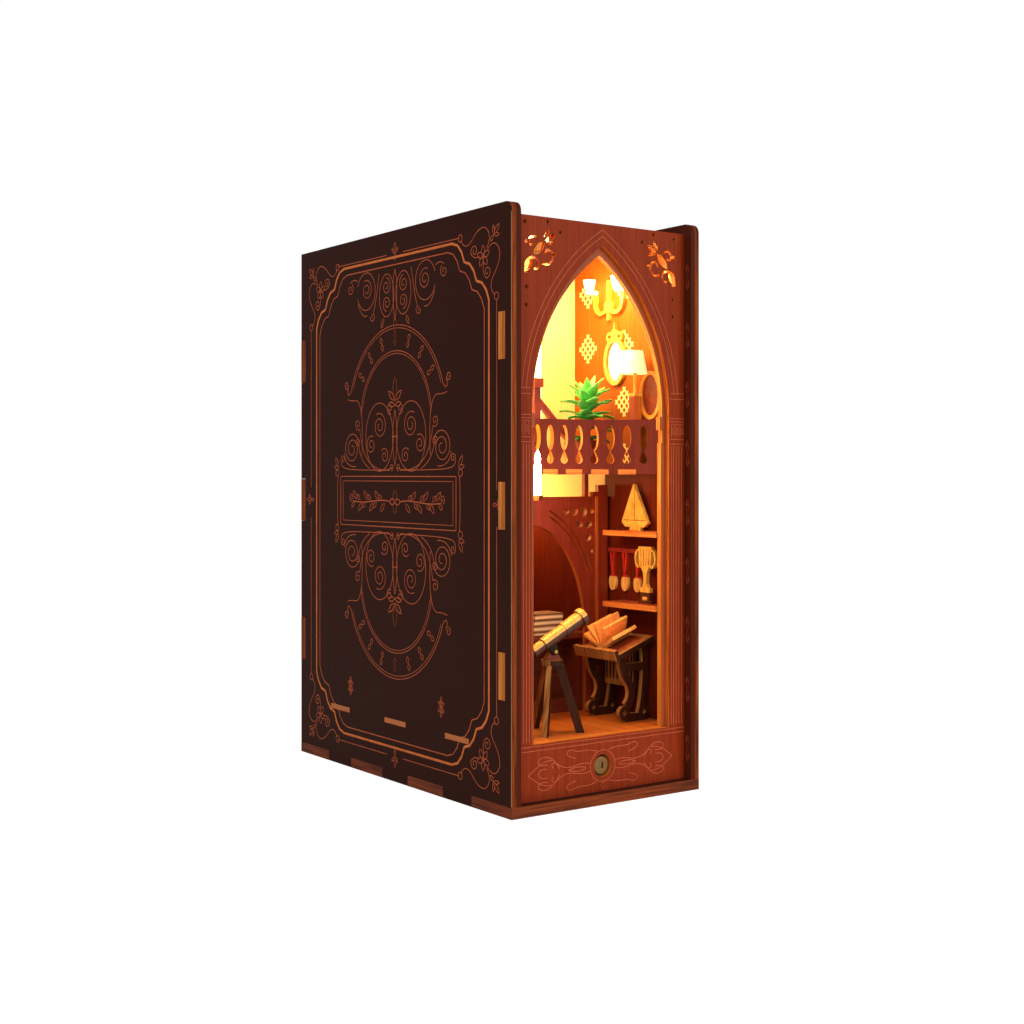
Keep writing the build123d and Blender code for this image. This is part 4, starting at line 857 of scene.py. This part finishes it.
def arch_line(offset, line):
    """Half a pointed line that runs parallel to the arch."""
    rise = arch_apex - arch_spring
    radius = (rise**2 + arch_half**2) / (2 * arch_half)
    centre = arch_half - radius
    foot = 5.2  # degrees above the spring line, where the capital ends
    top = math.degrees(math.acos(-centre / (radius + offset)))
    return (arc(centre, arch_spring, radius + offset, foot, top), line, False, False)


def strapwork(line):
    """Right half of the plinth's line ornament beside the button."""
    b = button_z
    drawn = [
        (arc(0, b, 6.6, -90, 90), line, False, False),
        (petal(0, b + 6.6, 3.2, 1.2, 90), line, False, True),
        (petal(0, b - 6.6, 3.2, 1.2, 270), line, False, True),
    ]
    curl = [(3.4, b + 6.4), (8, b + 7.8), (13, b + 6.6), (16, b + 8.6), (19.5, b + 7.8)]
    curl += [(19.0, b + 5.6), (14, b + 4.6)]
    lobe = [(22.5, b + 1.2), (26, b + 6.6), (32, b + 7.2), (34.6, b + 4.6), (31.6, b + 3.0), (28.6, b + 3.6)]
    upper = [
        (curl, line, True, False),
        ([(6.4, b + 1.6), (11, b + 2.6), (15, b + 0.9), (21, b + 1.0), (24.5, b + 3.8)], line, True, False),
        ([(24.5, b + 3.8), (26.6, b + 4.4), (27.2, b + 2.6), (25.6, b + 1.8)], line, True, False),
        (lobe, line, True, False),
        ([(26.5, b + 5.0), (31, b + 5.8), (35.4, b + 2.0), (38.4, b)], line, True, False),
        ([(29.0, b + 1.8), (32.4, b + 2.4), (33.4, b + 0.0)], line, True, False),
        ([(9.0, b + 0.2), (13, b + 1.6), (18, b + 0.0)], line, True, False),
    ]
    return drawn + mirrored(upper, 1, b)


def frame_lines():
    """All the fine lines on the front frame, right half."""
    line = frame_line
    drawn = [arch_line(3.1, line), arch_line(5.4, line)]
    edge = x_room
    capital_heights = (171.4, 169.0, 151.6, 149.6, 160.6, 159.2)
    key_step = 2.5
    column_flutes = (37.9, 39.3, 40.8, 42.3, 43.8)
    flute_top = 148.6
    for v in capital_heights:
        drawn.append(([(arch_half + 0.6, v), (edge, v)], line, False, False))
    for i in range(3):
        u = arch_half + 1.4 + key_step * i
        key = [(u, 152.6), (u, 158.2), (u + 1.8, 158.2), (u + 1.8, 153.8), (u + 0.9, 153.8), (u + 0.9, 156.6)]
        drawn.append((key, line, False, False))
    for u in column_flutes:
        drawn.append(([(u, floor_top + 1.0), (u, flute_top)], line, False, False))
    for v in (floor_top - 0.8, floor_top - 2.6):
        drawn.append(([(0, v), (edge, v)], line, False, False))
    return drawn + strapwork(strap_line)


strokes_mesh("front_frame_lines", mirrored(frame_lines()), frame_place, engraved_frame, 1)


def recess_place(u, v):
    """A point just off the right side wall."""
    return (x_room - recess_gap, u, v)


def recess_strip():
    """The scrolls along the inside of the right cover, in front of the frame."""
    drawn = []
    middle = (cover_low.y + frame_front) / 2
    count, lowest, pitch = 9, 18, 25.5
    for i in range(count):
        v = lowest + pitch * i
        for side in (-1, 1):
            curl = volute(middle + 0.5 * side, v + 4 * side, 1.3, 90 * side, 1.2)
            drawn.append((curl, recess_line, False, False))
            drawn.append((petal(middle, v, 5.5, 1.6, 90 * side), recess_line, False, True))
    return drawn


# The recess scrolls take the laser lines painted darker as shade.
strokes_mesh("right_recess_scrolls", recess_strip(), recess_place, engraved_painted_shade, 0)


# Sailboat and trophy


def rig_sailboat():
    """The mast and boom printed on the sailboat."""
    low, high = box_mm("sailboat")
    middle = (low.y + high.y) / 2
    hull_top = low.z + 4.6
    width, margin = 0.4, 1.6
    mast = ([(middle, hull_top), (middle, high.z - 1.5)], width, False, False)
    boom = ([(low.y + margin, hull_top), (high.y - margin, hull_top)], width, False, False)

    def place(u, v):
        return (low.x - line_gap, u, v)

    strokes_mesh("sailboat_lines", [mast, boom], place, rigging, 0)


def dress_trophy():
    """The flutes that widen up the cup, and the plate on its plinth."""
    middle = (trophy_low.y + trophy_high.y) / 2
    foot, rim = trophy_high.z - 8.5, trophy_high.z - 1.2
    spread, width = 1.25, 0.35
    flutes = []
    for u in (-2.4, -0.8, 0.8, 2.4):
        flutes.append(([(middle + u, foot), (middle + spread * u, rim)], width, False, False))
    plate_half, plate_tall, plate_z = 1.6, 1.8, trophy_low.z + 2.2
    plate = ([(middle - plate_half, plate_z), (middle + plate_half, plate_z)], plate_tall, False, False)

    def place(u, v):
        return (trophy_low.x - line_gap, u, v)

    strokes_mesh("trophy_flutes", flutes, place, rigging, 0)
    strokes_mesh("trophy_plate", [plate], place, gilt, 0)


rig_sailboat()
dress_trophy()


# Plant


def leaf_blade(bm, base, turn, rise, length, width, droop):
    """One leaf: a tapered strip that bends over towards its tip."""
    made = bmesh.ops.create_grid(bm, x_segments=6, y_segments=2, size=0.5)
    for vertex in made["verts"]:
        along = vertex.co.x + 0.5
        # half its full width at the root, and pointed at the tip
        half = width * math.sin(math.pi * (0.12 + 0.88 * along) ** 0.8) * vertex.co.y
        angle = math.radians(rise) - droop * along
        reach = length * along
        fold = 0.22 * abs(vertex.co.y) * width
        vertex.co = Vector((reach * math.cos(angle), half, reach * math.sin(angle) + fold))
    move = Matrix.Translation(base) @ Matrix.Rotation(math.radians(turn), 4, "Z")
    bmesh.ops.transform(bm, matrix=move, verts=made["verts"])


def plant():
    """The fan of broad leaves in the pot."""
    pot_low, pot_high = box_mm("plant_pot")
    middle = (pot_low + pot_high) / 2
    bm = bmesh.new()
    # each ring: leaves, rise in degrees, length, width, droop in radians, height of its root
    rings = (
        (8, 28, 10.4, 6.4, 0.7, 3.0),
        (9, 36, 11.8, 6.6, 0.6, 7.0),
        (9, 42, 12.4, 6.6, 0.5, 11.0),
        (9, 50, 12.6, 6.4, 0.45, 15.0),
        (8, 60, 13.0, 6.0, 0.35, 18.0),
        (5, 74, 12.6, 5.0, 0.25, 20.0),
    )
    for ring, (count, rise, length, width, droop, lift) in enumerate(rings):
        for i in range(count):
            # each ring is turned from the one below it, and its leaves lean and reach unevenly
            turn = 360 * i / count + 31 * ring
            lean = rise + 7 * math.sin(3.1 * i + ring)
            stretch = length * (1 + 0.1 * math.sin(2.3 * i + 1.7 * ring))
            base = Vector((middle.x, middle.y, pot_high.z - 2.4 + lift))
            leaf_blade(bm, base, turn, lean, stretch, width, droop)
    bmesh.ops.solidify(bm, geom=bm.faces[:], thickness=0.25)
    stem = bmesh.ops.create_cone(bm, cap_ends=True, segments=12, radius1=1.6, radius2=0.9, depth=24.0)
    bmesh.ops.translate(bm, vec=(middle.x, middle.y, pot_high.z + 8.0), verts=stem["verts"])
    leaves = built("potted_leaves", bm, leaf_plastic)
    for polygon in leaves.data.polygons:
        polygon.use_smooth = True
    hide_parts("plant_leaves")


plant()


# Camera, floor and light

# The photo's viewpoint, solved from the corners of the case
eye = Vector((-387.4, -564.4, 136.5)) * mm
heading = math.radians(35.425)
picture_rows = 1024
view_drop = 37.6  # rows that the view is shifted down, with the camera level
camera_data = bpy.data.cameras.new("camera")
camera = bpy.data.objects.new("camera", camera_data)
scene.collection.objects.link(camera)
camera.location = eye
camera.rotation_euler = (math.pi / 2, 0, -heading)
camera_data.sensor_width = 36.0
camera_data.lens = 51.9
camera_data.shift_y = -view_drop / picture_rows
camera_data.clip_start = 0.01
scene.camera = camera


floor_white = 1.18  # makes up for the share of the floor that takes the shadow
white_share = 0.8


def show_white(tree, strength):
    """How far the backdrop shows plain white: up to its strength to the camera, 0 in reflections."""
    ray = add(tree, "LightPath")
    rays = {0: ray.outputs["Is Camera Ray"], 1: ray.outputs["Is Transmission Ray"]}
    seen = add(tree, "Math", links=rays, operation="MAXIMUM")
    share = add(tree, "Math", {1: strength}, {0: seen.outputs[0]}, operation="MULTIPLY")
    return share.outputs[0]


def floor():
    """A plain pale floor that keeps the object's shadow."""
    bm = bmesh.new()
    bmesh.ops.create_grid(bm, x_segments=1, y_segments=1, size=6.0)
    mesh = bpy.data.meshes.new("floor")
    bm.to_mesh(mesh)
    bm.free()
    ground = bpy.data.objects.new("floor", mesh)
    scene.collection.objects.link(ground)
    material = bpy.data.materials.new("pale_floor")
    material.use_nodes = True
    tree = material.node_tree
    matte = tree.nodes["Principled BSDF"]
    matte.inputs["Base Color"].default_value = colour("#f4f2f0")
    matte.inputs["Roughness"].default_value = 0.9
    white = add(tree, "Emission", {"Color": (1, 1, 1, 1), "Strength": floor_white})
    shown = show_white(tree, white_share)
    mix = add(tree, "MixShader", links={0: shown, 1: matte.outputs[0], 2: white.outputs[0]})
    tree.links.new(mix.outputs[0], tree.nodes["Material Output"].inputs["Surface"])
    mesh.materials.append(material)


floor()


def studio():
    """Soft even light, white where the camera sees it."""
    world = bpy.data.worlds.new("studio")
    scene.world = world
    world.use_nodes = True
    tree = world.node_tree
    soft = tree.nodes["Background"]
    soft.inputs["Color"].default_value = colour("#fffaf4")
    soft.inputs["Strength"].default_value = 0.45
    white = add(tree, "Background", {"Color": (1, 1, 1, 1), "Strength": 1.0})
    shown = show_white(tree, 1.0)
    mix = add(tree, "MixShader", links={0: shown, 1: soft.outputs[0], 2: white.outputs[0]})
    tree.links.new(mix.outputs[0], tree.nodes["World Output"].inputs["Surface"])


studio()


def new_light(name, kind, place, power, code):
    """A light of one kind at a place, with its power in watts."""
    data = bpy.data.lights.new(name, kind)
    data.energy = power
    data.color = colour(code)[:3]
    lamp = bpy.data.objects.new(name, data)
    scene.collection.objects.link(lamp)
    lamp.location = Vector(place) * mm
    return lamp


def area_light(name, place, target, size, power, code):
    """A soft panel turned to its target."""
    lamp = new_light(name, "AREA", place, power, code)
    lamp.data.shape = "RECTANGLE"
    lamp.data.size, lamp.data.size_y = (s * mm for s in size)
    lamp.rotation_euler = (Vector(target) * mm - lamp.location).to_track_quat("-Z", "Y").to_euler()


def point_light(name, place, radius, power, code):
    """A small light inside the nook, which isn't seen itself."""
    lamp = new_light(name, "POINT", place, power, code)
    lamp.data.shadow_soft_size = radius * mm
    lamp.visible_camera = False


area_light("key", (-900, -900, 900), (0, 0, 120), (700, 700), 8.0, "#fff2e2")
area_light("front_fill", (500, -1100, 500), (0, 0, 120), (600, 600), 4.0, "#fff0dc")
# The nook's own lights, warm white
warm = "#ffc878"
area_light("ceiling_strip_light", (0, -54, ceiling - 3.0), (0, -40, 0), (58, 8), 0.20, warm)
point_light("upper_room_light", (-14, -30, 214), 5, 0.22, warm)
point_light("sconce_light", (34, -40, 218), 3, 0.06, warm)
point_light("back_room_light", (14, 30, 130), 3, 0.16, warm)
point_light("under_balcony_light", (-24, -40, 132), 2, 0.05, warm)
point_light("candle_light", (-15, -57.5, 140), 2, 0.06, "#ffc060")
point_light("lower_room_light", (-14, -68, 112), 4, 0.05, "#ff9a4a")
